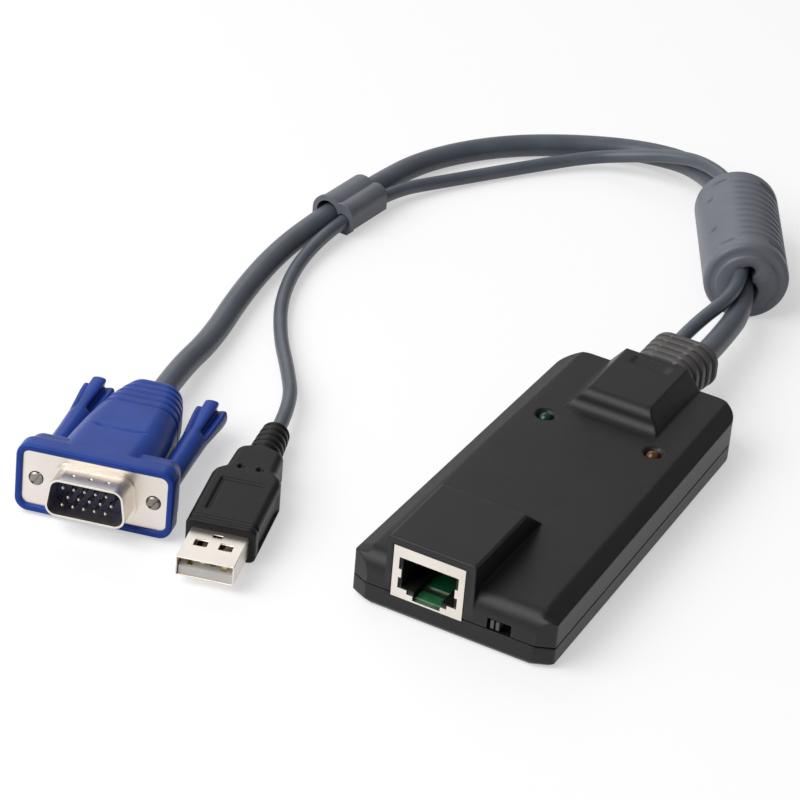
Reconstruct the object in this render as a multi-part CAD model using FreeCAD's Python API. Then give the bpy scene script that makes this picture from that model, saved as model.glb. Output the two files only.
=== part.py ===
import FreeCAD, Part
import math
import os

os.makedirs("parts", exist_ok=True)

V = FreeCAD.Vector

# Housing: two moulded shells that part just above the table, tapering towards the cables
LENGTH = 93.0
FRONT_WIDTH = 45.2
REAR_WIDTH = 41.4
PLATE_Z = 12.1
PARTING_Z = 4.8
PARTING_GAP = 0.35
WALL = 1.6
FLOOR = 1.6
CORNER_CUT_X = 3.9
CORNER_CUT_Y = 1.8
CORNER_ROUND = 0.9
REAR_CORNER_R = 6.0
FOOT_INSET = 0.9
FOOT_Z = 1.1
NOSE_R = 2.8
PLATE_FRONT_HALF = 19.5
PLATE_REAR_HALF = 17.1
SIDE_TOP_FRONT_Z = 10.5
SIDE_TOP_MID_Z = 10.6
SIDE_TOP_REAR_Z = 10.7
TONGUE = 0.7
TONGUE_RISE = 1.3
FIT = 0.1

# Raised block over the network jack
BLOCK_TOP_Z = 18.2
BLOCK_DEPTH = 21.6
BLOCK_RAMP = 7.4
BLOCK_DRAFT = 0.35
BLOCK_LEFT_WALL = 1.2
BLOCK_RIGHT_WALL = 1.95
BLOCK_EDGE_R = 0.5

# Raised block over the cable exit
EXIT_TOP_Z = 16.4
EXIT_BASE_HALF = 10.7
EXIT_TOP_HALF = 7.3
EXIT_DEPTH = 23.0
EXIT_RAMP = 5.4

# Network jack
JACK_X = -5.16
JACK_WIDTH = 15.9
JACK_HEIGHT = 12.1
JACK_DEPTH = 21.2
JACK_Z = 4.4
JACK_SHEET = 0.4
JACK_CLEAR = 0.15
JACK_MOUTH_WIDTH = 13.2
PLUG_WIDTH = 11.8
PLUG_LOW_Z = 6.7
PLUG_HIGH_Z = 14.0
PLUG_DEPTH = 14.2
LATCH_STEP_WIDTH = 9.0
LATCH_STEP = 0.9
LATCH_WIDTH = 6.2
LATCH_DROP = 1.0
JACK_BOARD_T = 0.6
JACK_STRIP_FRONT = 6.0
JACK_TAB = 0.65
JACK_TAB_LOW_Z = 9.2
JACK_TAB_HIGH_Z = 11.2
CONTACT_COUNT = 8
CONTACT_PITCH = 1.02
CONTACT_WIDTH = 0.4
CONTACT_FRONT = 2.2
CONTACT_FOOT = 1.7
CONTACT_DROP = 2.4

# Circuit board and what is on it
BOARD_HALF = 14.6
BOARD_T = 1.6
BOARD_REAR_INSET = 7.0
POST_R = 1.3
POST_X = 12.8
POST_FRONT_INSET = 13.5
POST_REAR_INSET = 9.0
CHIP_SIZE = 14.0
CHIP_T = 1.4
CHIP_BACK = 44.0
CHIP_LEAD_OUT = 1.0
CHIP_LEAD_W = 0.5
CHIP_LEAD_T = 0.2
CHIP_LEADS = 10
CHIP_LEAD_PITCH = 1.2
CONVERTER_X = -6.0
CONVERTER_BACK = 62.0
CONVERTER_SIZE = (10.0, 7.5)
CRYSTAL_X = 11.4
CRYSTAL_BACK = 60.5
CRYSTAL_LENGTH = 11.0
CRYSTAL_WIDTH = 4.6
CRYSTAL_HEIGHT = 3.6
CAPACITOR_R = 2.5
CAPACITOR_H = 5.2
CAPACITORS = ((-10.8, 37.0), (11.0, 33.0), (11.0, 39.0))

# Indicator lamps
LAMP_X = 12.55
LAMP_BACK = 65.5
LAMP_R = 1.5
LAMP_FLANGE_R = 1.95
LAMP_FLANGE_T = 1.0
LAMP_BODY = 3.2
LAMP_BASE_Z = 6.6
LAMP_LEAD = 0.5
LAMP_LEAD_GAP = 2.54
LAMP_CLEAR = 0.15
LAMP_DISH_R = 2.4
LAMP_DISH_DEPTH = 0.8

# Mode switch beside the jack
SWITCH_X = 10.95
SWITCH_WINDOW = 5.3
SWITCH_WINDOW_Z = 7.7
SWITCH_BODY_WIDTH = 7.0
SWITCH_BODY_DEPTH = 3.6
SWITCH_BODY_HEIGHT = 3.6
SWITCH_WALL = 0.5
SWITCH_SET_BACK = 2.6
SLIDER_WIDTH = 1.9
SLIDER_HEIGHT = 1.9
SLIDER_Z = 6.3
SLIDER_FOOT = 0.5
SLIDER_GROOVE = 0.5
SLIDER_GROOVE_DEPTH = 1.4
SLIDER_TRAVEL = 2.0
SLIDER_CLEAR = 0.1

# Screws that hold the two shells together
SCREW_FRONT_X = 17.6
SCREW_REAR_X = 17.4
SCREW_INSET = 13.0
SCREW_R = 0.95
SCREW_HEAD_R = 1.9
SCREW_HEAD_T = 1.3
SCREW_SEAT_Z = 1.8
SCREW_TIP_Z = 9.4
SCREW_CLEAR = 0.06
BOSS_R = 2.6
DRIVE_SIZE = 0.5
DRIVE_SPAN = 2.2
DRIVE_DEPTH = 0.7

# Strain relief where both cables leave the housing
BOOT_Z = 9.3
BOOT_LENGTH = 14.7
BOOT_ROOT_HALF = 6.7
BOOT_TIP_HALF = 7.9
BOOT_ROOT_RISE = 5.7
BOOT_TIP_RISE = 5.4
BOOT_SHIFT = 0.9
BOOT_RIBS = 6
BOOT_GROOVE = 0.95
BOOT_GROOVE_DEPTH = 1.1
BOOT_FLANGE_T = 2.2
BOOT_FLANGE_OUT = 1.2
BOOT_CLEAR = 0.1
BOOT_BRIDGE = 1.0
BOOT_BRIDGE_X = 3.2
BOOT_BRIDGE_DEPTH = 0.35
WIRE_VIDEO_R = 1.8
WIRE_USB_R = 1.2
HEADER_REAR_INSET = 13.0
HEADER_DEPTH = 5.0
HEADER_HEIGHT = 5.6
HEADER_VIDEO_WIDTH = 11.0
HEADER_USB_WIDTH = 7.0
HEADER_GAP = 0.9

# Cables: centre lines as they lie, in millimetres
VIDEO_CABLE_D = 5.4
USB_CABLE_D = 3.2
VIDEO_ROUTE = [(3.7, 61.34, 9.29), (3.7, 71.5, 8.8), (1.563, 93.133, 7.55), (-19.986, 133.321, 7.55),
               (-35.3, 149.2, 5.2), (-50.3, 152.2, 3.3), (-66.8, 145.6, 2.8), (-82.6, 133.3, 2.8),
               (-93.7, 115.9, 2.9), (-96.761, 97.326, 3.3), (-99.439, 73.074, 3.3), (-100.1, 56.0, 2.9),
               (-97.5, 36.3, 2.8), (-92.8, 16.4, 3.0), (-90.773, -1.264, 4.583), (-87.1533, -15.7827, 5.6297)]
USB_ROUTE = [(-3.1, 61.33, 9.3), (-3.5, 71.5, 10.0), (1.09, 94.015, 12.45), (-19.986, 133.321, 12.45),
             (-32.6, 143.0, 10.6), (-42.6, 144.7, 8.2), (-50.6, 144.4, 5.6), (-61.5, 141.5, 3.0),
             (-72.7, 129.3, 1.9), (-85.5, 111.1, 2.0), (-92.31, 96.634, 3.7), (-94.944, 72.779, 3.7),
             (-94.6, 57.0, 2.2), (-89.5, 40.7, 1.9), (-81.5, 27.0, 1.9), (-73.2, 16.0, 2.5),
             (-64.251, 2.424, 4.3), (-61.037, -9.655, 4.3)]
ARC_SHARE = 0.45

# Ferrite filter moulded over both cables
FERRITE_X = -0.8
FERRITE_Y = 97.54
FERRITE_Z = 9.8
FERRITE_TURN = 28.2
FERRITE_LENGTH = 36.6
FERRITE_R = 9.75
FERRITE_EDGE_R = 1.3
FERRITE_END = 3.0
FERRITE_CORE_R = 8.2
FERRITE_BORE_R = 5.2
FERRITE_RIBS = 9
FERRITE_RIB_DEPTH = 0.4
FERRITE_RIB_PITCH = 2.9
FERRITE_RIB_FROM = -22.0
FERRITE_RIB_SWEEP = 122.0
FERRITE_RIB_GAP = 1.2
FERRITE_RING_R = 7.0
FERRITE_RING_T = 0.7
FERRITE_VIDEO_RISE = -2.2
FERRITE_USB_RISE = 2.7
FERRITE_HOLE_CLEAR = 0.35
FERRITE_MOUTH = 0.5
SLOT_DEPTH = 0.7
SLOT_WIDTH = 1.3
SLOT_INSET = 3.9
SLOT_SWEEP = 35.0
SLOT_LEFT = -51.0
SLOT_RIGHT = 28.0
NOTCH_ANGLE = -56.0
NOTCH_SWEEP = 8.0
NOTCH_BACKS = (12.5, 26.0)
NOTCH_LENGTH = 1.0

# Clip that holds the two cables side by side
CLIP_X = -98.1
CLIP_Y = 85.2
CLIP_TURN = -6.3
CLIP_LENGTH = 14.6
CLIP_SPACING = 4.5
CLIP_VIDEO_Z = 3.3
CLIP_USB_Z = 3.7
CLIP_CLEAR = 0.2
CLIP_ARCH_R = 3.9
CLIP_ARCH_Z = 4.3
CLIP_ARCH_BORE_R = 3.0
CLIP_SIDE_X = 4.1
CLIP_SIDE_Z = 4.9
CLIP_SIDE_R = 2.75
CLIP_BASE_Z = 0.3
CLIP_CHAMFER = 1.4
CLIP_LIP = 0.35
CLIP_LIP_LENGTH = 0.9

# Video plug, in its own frame: x across, y back from the metal face
VIDEO_X = -77.5
VIDEO_Y = -54.5
VIDEO_Z = 8.42
VIDEO_TURN = 14.0
VIDEO_PITCH = 4.0
FLANGE_WIDTH = 30.8
FLANGE_HEIGHT = 12.5
FLANGE_T = 0.8
FLANGE_R = 1.6
SCREW_SPREAD = 12.5
DEE_TOP_HALF = 7.6
DEE_LOW_HALF = 8.8
DEE_RISE = 4.25
DEE_R = 2.3
DEE_OUT = 5.9
DEE_SHEET = 0.45
DEE_REAR = 5.0
DEE_RIM = 0.7
DIMPLE_R = 0.7
DIMPLE_PITCH = 3.7
INSERT_FACE = 0.6
INSERT_REAR = 7.0
PIN_R = 0.5
PIN_PITCH = 2.29
PIN_ROW = 1.98
PIN_TIP = 5.0
PIN_REAR = 6.4
PINS_IN_ROW = 5
COLLAR_WIDTH = 33.6
COLLAR_HEIGHT = 15.5
COLLAR_R = 2.8
COLLAR_LIP = 0.7
COLLAR_DEPTH = 3.6
COLLAR_STEP = 0.6
EAR_WIDTH = 31.8
EAR_HEIGHT = 13.4
EAR_DEPTH = 7.4
HOOD_SECTIONS = ((3.4, 10.5, 7.6), (19.0, 9.8, 6.95), (29.0, 8.7, 6.25), (36.0, 7.2, 5.75), (40.0, 5.7, 5.2))
HOOD_ROUND = 0.72
TAIL_START = 26.4
TAIL_PITCH = 2.6
TAIL_RIBS = 5
TAIL_GROOVE = 0.85
TAIL_GROOVE_DEPTH = 0.6
BROW_BACK = 13.8
BROW_LEFT = -5.2
BROW_RIGHT = 4.8
BROW_WIDTH = 0.8
BROW_DEPTH = 0.5
POCKET_FIT = 0.05
KNOB_START = 7.8
KNOB_END = 40.0
KNOB_FRONT_R = 2.5
KNOB_WAIST_R = 2.7
KNOB_END_R = 3.6
KNOB_FLARE = 27.0
KNOB_GROOVE = 1.7
KNOB_GROOVE_DEPTH = 1.8
KNOB_GROOVE_LENGTH = 13.0
KNOB_GROOVES = 4
KNOB_CLEAR = 0.3
JACKSCREW_R = 1.45
JACKSCREW_CLEAR = 0.15
JACKSCREW_OUT = 0.5
JACKSCREW_IN = 16.0
JACKSCREW_SLOT = 0.6
JACKSCREW_FIT = 0.05

# USB plug, in its own frame: x across, y back from the open end
USB_X = -47.46
USB_Y = -60.68
USB_Z = 4.3
USB_TURN = 14.9
USB_SHELL_WIDTH = 12.0
USB_SHELL_HEIGHT = 4.5
USB_SHEET = 0.3
USB_SHELL_OUT = 11.2
USB_SHELL_IN = 7.0
USB_WINDOW = 2.7
USB_WINDOW_LONG = 2.0
USB_WINDOW_X = 2.6
USB_WINDOW_BACK = 5.0
USB_NOTCH = 2.0
USB_NOTCH_LONG = 0.7
USB_NOTCH_BACK = 8.9
USB_TONGUE_WIDTH = 11.1
USB_TONGUE_T = 1.85
USB_TONGUE_FRONT = 0.5
USB_CONTACTS = (-3.5, -1.0, 1.0, 3.5)
USB_CONTACT_WIDTH = 1.0
USB_CONTACT_T = 0.15
USB_CONTACT_LONG = 1.2
USB_CONTACT_SHORT = 2.2
GRIP_HALF = 7.4
GRIP_RISE = 4.2
GRIP_BACK = 30.4
GRIP_R = 1.5
GRIP_OVER = 0.4
SHOULDER = 2.6
NECK_HALF = 5.3
NECK_RISE = 4.0
NECK_BACK = 41.6
USB_BOOT_R = 3.75
USB_BOOT_TIP_R = 3.1
USB_BOOT_BACK = 52.8
USB_BOOT_RIBS = 5
USB_BOOT_GROOVE = 0.8
USB_BOOT_GROOVE_DEPTH = 0.7
PANEL_WIDTH = 9.2
PANEL_LENGTH = 11.8
PANEL_BACK = 15.4
PANEL_DEPTH = 0.35
PANEL_LINE = 0.7
DOT_R = 0.6
DOT_X = 2.0
DOT_BACK = 32.6
BAND_BACK = 12.2
BAND_RISE = 0.35
BAND_LENGTH = 0.6

FRONT_Y = -LENGTH / 2
REAR_Y = LENGTH / 2
BOARD_Z = JACK_Z - BOARD_T
JACK_LEFT = JACK_X - JACK_WIDTH / 2
JACK_RIGHT = JACK_X + JACK_WIDTH / 2
JACK_TOP = JACK_Z + JACK_HEIGHT


def unit(vector):
    """The vector scaled to length one."""
    return vector * (1.0 / vector.Length)


def corner_arc(before, corner, after, reach):
    """Arc that leaves both legs of a corner at the same reach from it; returns the arc and its radius."""
    back = unit(before - corner)
    ahead = unit(after - corner)
    half = back.getAngle(ahead) / 2
    inward = unit(back + ahead)
    radius = reach * math.tan(half)
    middle = corner + inward * (reach / math.cos(half) - radius)
    arc = Part.Arc(corner + back * reach, middle, corner + ahead * reach)
    return arc.toShape(), radius


def loop(points, radii):
    """Closed flat wire through the points, with each corner rounded to its own radius."""
    count = len(points)
    edges = []
    ends = []
    for i in range(count):
        before, corner, after = points[i - 1], points[i], points[(i + 1) % count]
        half = (before - corner).getAngle(after - corner) / 2
        if radii[i] > 0:
            arc, _ = corner_arc(before, corner, after, radii[i] / math.tan(half))
            ends.append((arc.Vertexes[0].Point, arc, arc.Vertexes[-1].Point))
        else:
            ends.append((corner, None, corner))
    for i in range(count):
        start, arc, stop = ends[i]
        if arc is not None:
            edges.append(arc)
        following = ends[(i + 1) % count][0]
        if (following - stop).Length > 1e-6:
            edges.append(Part.LineSegment(stop, following).toShape())
    return Part.Wire(Part.__sortEdges__(edges))


def prism(wire, direction):
    """Solid made by moving a closed flat wire along a direction."""
    return Part.Face(wire).extrude(direction)


def block(x0, x1, y0, y1, z0, z1):
    """Box between two corners."""
    return Part.makeBox(x1 - x0, y1 - y0, z1 - z0, V(x0, y0, z0))


def rod(radius, start, stop):
    """Round bar between two points."""
    return Part.makeCylinder(radius, (stop - start).Length, start, stop - start)


def rounded_section(half, rise, radius, x, y, z):
    """Rounded rectangle standing across y, given by its half width and half height."""
    left, right = x - half, x + half
    points = [V(left, y, z - rise), V(right, y, z - rise), V(right, y, z + rise), V(left, y, z + rise)]
    return loop(points, [radius] * 4)


def half_width(y):
    """Half of the housing's width at a place along its length."""
    taper = (FRONT_WIDTH - REAR_WIDTH) / 2 / LENGTH
    return FRONT_WIDTH / 2 - taper * (y - FRONT_Y)


def footprint(inset, z):
    """Outline of the housing seen from above, drawn in by the inset."""
    front = FRONT_Y + inset
    rear = REAR_Y - inset
    side = front + CORNER_CUT_Y
    nose = half_width(front) - inset - CORNER_CUT_X
    points = [V(-nose, front, z), V(nose, front, z), V(half_width(side) - inset, side, z),
              V(half_width(rear) - inset, rear, z), V(inset - half_width(rear), rear, z),
              V(inset - half_width(side), side, z)]
    rear_r = REAR_CORNER_R - inset
    return loop(points, [CORNER_ROUND, CORNER_ROUND, CORNER_ROUND, rear_r, rear_r, CORNER_ROUND])


def screw_places():
    """Centres of the four case screws."""
    rows = ((SCREW_FRONT_X, FRONT_Y + SCREW_INSET), (SCREW_REAR_X, REAR_Y - SCREW_INSET))
    return [V(side * x, y, 0) for x, y in rows for side in (-1, 1)]


def post_places():
    """Centres of the pillars that carry the circuit board."""
    rows = (FRONT_Y + POST_FRONT_INSET, REAR_Y - POST_REAR_INSET)
    return [V(side * POST_X, y, 0) for y in rows for side in (-1, 1)]


def boot_section(share, shrink, y):
    """Outline of the strain relief at a share of its length, drawn in by shrink."""
    half = BOOT_ROOT_HALF + (BOOT_TIP_HALF - BOOT_ROOT_HALF) * share - shrink
    rise = BOOT_ROOT_RISE + (BOOT_TIP_RISE - BOOT_ROOT_RISE) * share - shrink
    return rounded_section(half, rise, rise * 0.8, BOOT_SHIFT * share * share, y, BOOT_Z)


def boot_form(shrink):
    """The strain relief outside the housing without its grooves, drawn in by shrink."""
    shares = [i / BOOT_RIBS for i in range(BOOT_RIBS + 1)]
    sections = [boot_section(share, shrink, REAR_Y + BOOT_LENGTH * share) for share in shares]
    return Part.makeLoft(sections, True, False)


def bevel_cutter(side):
    """What is cut away above the long sloping edge of one side; the edge dips a little at mid length."""
    sections = []
    for y, plate_half, low_z in ((FRONT_Y - 1, PLATE_FRONT_HALF, SIDE_TOP_FRONT_Z),
                                 (0, (PLATE_FRONT_HALF + PLATE_REAR_HALF) / 2, SIDE_TOP_MID_Z),
                                 (REAR_Y + 1, PLATE_REAR_HALF, SIDE_TOP_REAR_Z)):
        inner = V(side * plate_half, y, PLATE_Z)
        outer = V(side * half_width(y), y, low_z)
        slope = outer - inner
        high = inner - slope * 0.5
        low = outer + slope * 0.5
        roof = high.z + 1
        sections.append(Part.makePolygon([high, low, V(low.x, y, roof), V(high.x, y, roof), high]))
    return Part.makeLoft(sections, True, False)


def nose_cutter():
    """What is cut away above the rounded front edge of the plate."""
    z = PLATE_Z - NOSE_R
    y = FRONT_Y + NOSE_R
    half = FRONT_WIDTH / 2 + 1
    corner = block(-half, half, FRONT_Y - 1, y, z, PLATE_Z + 1)
    return corner.cut(rod(NOSE_R, V(-half, y, z), V(half, y, z)))


def jack_block():
    """Drafted block over the network jack, with a sloping rear."""
    left = JACK_LEFT - JACK_CLEAR - BLOCK_LEFT_WALL
    right = JACK_RIGHT + JACK_CLEAR + BLOCK_RIGHT_WALL
    rear = FRONT_Y + BLOCK_DEPTH
    base = PARTING_Z + PARTING_GAP
    run = BLOCK_RAMP / (BLOCK_TOP_Z - PLATE_Z) * (BLOCK_TOP_Z - base)
    low = [V(left - BLOCK_DRAFT, FRONT_Y, base), V(right + BLOCK_DRAFT, FRONT_Y, base),
           V(right + BLOCK_DRAFT, rear + run, base), V(left - BLOCK_DRAFT, rear + run, base)]
    high = [V(left, FRONT_Y, BLOCK_TOP_Z), V(right, FRONT_Y, BLOCK_TOP_Z),
            V(right, rear, BLOCK_TOP_Z), V(left, rear, BLOCK_TOP_Z)]
    solid = Part.makeLoft([Part.makePolygon(low + low[:1]), Part.makePolygon(high + high[:1])], True, True)
    top = [e for e in solid.Edges if all(abs(v.Z - BLOCK_TOP_Z) < 1e-6 for v in e.Vertexes)]
    return solid.makeFillet(BLOCK_EDGE_R, top)


def exit_block(inset):
    """Block over the cable exit: sloping sides, and an s-shaped ramp made of two equal arcs."""
    floor_z = PLATE_Z - inset
    top_z = EXIT_TOP_Z - inset
    start = REAR_Y - EXIT_DEPTH + inset
    stop = start + EXIT_RAMP
    rise = top_z - floor_z
    radius = (EXIT_RAMP ** 2 + rise ** 2) / (4 * rise)
    bend = math.asin(EXIT_RAMP / 2 / radius)
    along, up = radius * math.sin(bend / 2), radius * math.cos(bend / 2)
    foot, crest = V(0, start, floor_z), V(0, stop, top_z)
    middle = (foot + crest) * 0.5
    under = PARTING_Z + PARTING_GAP
    rear = REAR_Y - inset
    edges = [Part.Arc(foot, V(0, start + along, floor_z + radius - up), middle).toShape(),
             Part.Arc(middle, V(0, stop - along, top_z - radius + up), crest).toShape(),
             Part.LineSegment(crest, V(0, rear, top_z)).toShape(),
             Part.LineSegment(V(0, rear, top_z), V(0, rear, under)).toShape(),
             Part.LineSegment(V(0, rear, under), V(0, start, under)).toShape(),
             Part.LineSegment(V(0, start, under), foot).toShape()]
    half = EXIT_BASE_HALF + EXIT_TOP_HALF
    profile = prism(Part.Wire(edges), V(2 * half, 0, 0))
    profile.translate(V(-half, 0, 0))
    lean = (EXIT_BASE_HALF - EXIT_TOP_HALF) / (EXIT_TOP_Z - PLATE_Z)
    low_half = EXIT_BASE_HALF + lean * (PLATE_Z - under) - inset
    top_half = EXIT_TOP_HALF - inset + lean * inset
    points = [V(-low_half, start, under), V(low_half, start, under),
              V(top_half, start, top_z), V(-top_half, start, top_z)]
    wedge = prism(Part.makePolygon(points + points[:1]), V(0, rear - start, 0))
    solid = profile.common(wedge)
    if inset > 0:
        return solid
    crests = [e for e in solid.Edges if all(abs(v.Z - EXIT_TOP_Z) < 1e-6 for v in e.Vertexes)
              and abs(e.Vertexes[0].Y - e.Vertexes[-1].Y) > 1]
    return solid.makeFillet(BLOCK_EDGE_R, crests)


def jack_room():
    """Space that the shells leave for the network jack."""
    clear = JACK_CLEAR
    return block(JACK_LEFT - clear, JACK_RIGHT + clear, FRONT_Y - 1, FRONT_Y + JACK_DEPTH + clear,
                 JACK_Z - clear, JACK_TOP + clear)


def switch_window():
    """Window in the front wall for the mode switch."""
    half = SWITCH_WINDOW / 2
    return block(SWITCH_X - half, SWITCH_X + half, FRONT_Y - 1, FRONT_Y + SWITCH_SET_BACK, PARTING_Z, SWITCH_WINDOW_Z)


def boot_room():
    """Hole through the rear walls for the strain relief, with a wider slot inside for its flange."""
    half, rise, corner = BOOT_ROOT_HALF, BOOT_ROOT_RISE, BOOT_ROOT_RISE * 0.8
    wall_y, slot_y = REAR_Y - WALL - 1, REAR_Y - WALL - BOOT_FLANGE_T - 1
    grow = BOOT_FLANGE_OUT + BOOT_CLEAR
    hole = rounded_section(half + BOOT_CLEAR, rise + BOOT_CLEAR, corner, 0, wall_y, BOOT_Z)
    slot = rounded_section(half + grow, rise + grow, corner, 0, slot_y, BOOT_Z)
    return prism(hole, V(0, WALL + 2, 0)).fuse(prism(slot, V(0, BOOT_FLANGE_T + 1, 0)))


def top_cover():
    """Upper shell with the bevels, both raised blocks, lamp holes and screw bosses."""
    base = PARTING_Z + PARTING_GAP
    shell = prism(footprint(0, base), V(0, 0, PLATE_Z - base))
    shell = shell.cut([bevel_cutter(-1), bevel_cutter(1), nose_cutter()])
    shell = shell.fuse([jack_block(), exit_block(0)])
    inside = prism(footprint(WALL, base - 1), V(0, 0, PLATE_Z - WALL - base + 1))
    rebate = prism(footprint(WALL - TONGUE - FIT, base - 1), V(0, 0, TONGUE_RISE + FIT + 1 - PARTING_GAP))
    shell = shell.cut([inside.fuse(rebate), exit_block(WALL)])
    bosses = [rod(BOSS_R, V(p.x, p.y, PARTING_Z), V(p.x, p.y, PLATE_Z - WALL)) for p in screw_places()]
    posts = [rod(POST_R, V(p.x, p.y, JACK_Z), V(p.x, p.y, PLATE_Z - WALL)) for p in post_places()]
    inner = prism(footprint(WALL, JACK_Z), V(0, 0, PLATE_Z - WALL - JACK_Z))
    pillars = bosses[0].multiFuse(bosses[1:] + posts[1:]).common(inner)
    shell = shell.fuse(pillars)
    bore = SCREW_R + SCREW_CLEAR
    cuts = [rod(bore, V(p.x, p.y, 0), V(p.x, p.y, SCREW_TIP_Z + 0.5)) for p in screw_places()]
    y = FRONT_Y + LAMP_BACK
    for x in (-LAMP_X, LAMP_X):
        cuts.append(rod(LAMP_R + LAMP_CLEAR, V(x, y, PARTING_Z), V(x, y, PLATE_Z + 1)))
        dish = V(x, y, PLATE_Z - LAMP_DISH_DEPTH)
        cuts.append(Part.makeCone(LAMP_R + LAMP_CLEAR, LAMP_DISH_R, LAMP_DISH_DEPTH, dish))
    return shell.cut(cuts + [jack_room(), switch_window(), boot_room()]).removeSplitter()


def bottom_cover():
    """Lower shell: a tray with a tongue round its rim, pillars for the board and wells for the screws."""
    foot = Part.makeLoft([footprint(FOOT_INSET, 0), footprint(0, FOOT_Z)], True, True)
    tray = foot.fuse(prism(footprint(0, FOOT_Z), V(0, 0, PARTING_Z - FOOT_Z)))
    tray = tray.fuse(prism(footprint(WALL - TONGUE, PARTING_Z - 1), V(0, 0, TONGUE_RISE + 1)))
    tray = tray.cut(prism(footprint(WALL, FLOOR), V(0, 0, PARTING_Z + TONGUE_RISE)))
    bosses = [rod(BOSS_R, V(p.x, p.y, FLOOR / 2), V(p.x, p.y, PARTING_Z)) for p in screw_places()]
    posts = [rod(POST_R, V(p.x, p.y, FLOOR / 2), V(p.x, p.y, BOARD_Z)) for p in post_places()]
    inner = prism(footprint(WALL / 2, 0), V(0, 0, PARTING_Z))
    tray = tray.fuse(bosses[0].multiFuse(bosses[1:] + posts).common(inner))
    cuts = []
    for p in screw_places():
        cuts.append(rod(SCREW_R + SCREW_CLEAR * 2, V(p.x, p.y, -1), V(p.x, p.y, PARTING_Z + 2)))
        cuts.append(rod(SCREW_HEAD_R + SCREW_CLEAR * 2, V(p.x, p.y, -1), V(p.x, p.y, SCREW_SEAT_Z)))
        clear = BOSS_R + FIT
        cuts.append(rod(clear, V(p.x, p.y, PARTING_Z), V(p.x, p.y, PARTING_Z + TONGUE_RISE + 1)))
    return tray.cut(cuts + [jack_room(), switch_window(), boot_room()]).removeSplitter()


def cover_screws():
    """Four pan-head screws with a cross drive, driven from below."""
    screws = []
    low = SCREW_SEAT_Z - SCREW_HEAD_T
    long, short = DRIVE_SPAN / 2, DRIVE_SIZE / 2
    for p in screw_places():
        x, y = p.x, p.y
        head = rod(SCREW_HEAD_R, V(x, y, low), V(x, y, SCREW_SEAT_Z))
        rim = [e for e in head.Edges if len(e.Vertexes) == 1 and abs(e.Vertexes[0].Z - low) < 1e-6]
        head = head.makeFillet(SCREW_HEAD_T * 0.4, rim)
        for across, along in ((long, short), (short, long)):
            head = head.cut(block(x - across, x + across, y - along, y + along, low - 1, low + DRIVE_DEPTH))
        shank = rod(SCREW_R, V(x, y, SCREW_SEAT_Z), V(x, y, SCREW_TIP_Z))
        screws.append(head.fuse(shank).removeSplitter())
    return Part.makeCompound(screws)


def circuit_board():
    """Printed board that carries the jack, switch, lamps and chips."""
    front = FRONT_Y + WALL + FIT
    return block(-BOARD_HALF, BOARD_HALF, front, REAR_Y - BOARD_REAR_INSET, BOARD_Z, JACK_Z)


def jack_mouth(depth):
    """Opening in the jack's front: the plug's width with a tab at each side, then two steps for its latch."""
    y, rear = FRONT_Y - 1, FRONT_Y + depth
    step = PLUG_LOW_Z - LATCH_STEP
    notch = step - LATCH_DROP
    half = JACK_MOUTH_WIDTH / 2
    mouth = block(JACK_X - half, JACK_X + half, y, rear, PLUG_LOW_Z, PLUG_HIGH_Z)
    for x in (JACK_X - half, JACK_X + half - JACK_TAB):
        mouth = mouth.cut(block(x, x + JACK_TAB, y - 1, rear + 1, JACK_TAB_LOW_Z, JACK_TAB_HIGH_Z))
    half = LATCH_STEP_WIDTH / 2
    mouth = mouth.fuse(block(JACK_X - half, JACK_X + half, y, rear, step, PLUG_HIGH_Z))
    half = LATCH_WIDTH / 2
    return mouth.fuse(block(JACK_X - half, JACK_X + half, y, rear, notch, PLUG_HIGH_Z))


def network_jack_shield():
    """Folded sheet can round the jack, open at the front where the plug goes in."""
    sheet, rear = JACK_SHEET, FRONT_Y + JACK_DEPTH
    can = block(JACK_LEFT, JACK_RIGHT, FRONT_Y, rear, JACK_Z, JACK_TOP)
    room = block(JACK_LEFT + sheet, JACK_RIGHT - sheet, FRONT_Y + sheet, rear - sheet,
                 JACK_Z + sheet, JACK_TOP - sheet)
    return can.cut([room, jack_mouth(sheet + 0.1)])


def network_jack_insert():
    """Moulded block inside the can, with the plug's room and its latch channel."""
    gap, rear = JACK_SHEET, FRONT_Y + PLUG_DEPTH
    body = block(JACK_LEFT + gap, JACK_RIGHT - gap, FRONT_Y + gap, FRONT_Y + JACK_DEPTH - gap,
                 JACK_Z + gap, JACK_TOP - gap)
    half = PLUG_WIDTH / 2
    room = block(JACK_X - half, JACK_X + half, FRONT_Y, rear, PLUG_LOW_Z, PLUG_HIGH_Z)
    half = LATCH_WIDTH / 2
    low = PLUG_LOW_Z - LATCH_STEP - LATCH_DROP
    return body.cut(room.fuse(block(JACK_X - half, JACK_X + half, FRONT_Y, rear, low, PLUG_LOW_Z + 1)))


def network_jack_board():
    """Small green board at the rear of the jack, with a strip along the latch channel."""
    rear = FRONT_Y + PLUG_DEPTH
    half = PLUG_WIDTH / 2
    upright = block(JACK_X - half, JACK_X + half, rear - JACK_BOARD_T, rear, PLUG_LOW_Z, PLUG_HIGH_Z)
    half = LATCH_WIDTH / 2
    low = PLUG_LOW_Z - LATCH_STEP - LATCH_DROP
    strip = block(JACK_X - half, JACK_X + half, FRONT_Y + JACK_STRIP_FRONT, rear, low, low + JACK_BOARD_T / 2)
    foot = block(JACK_X - half, JACK_X + half, rear - JACK_BOARD_T, rear, low, PLUG_LOW_Z)
    return upright.fuse(strip.fuse(foot)).removeSplitter()


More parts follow.
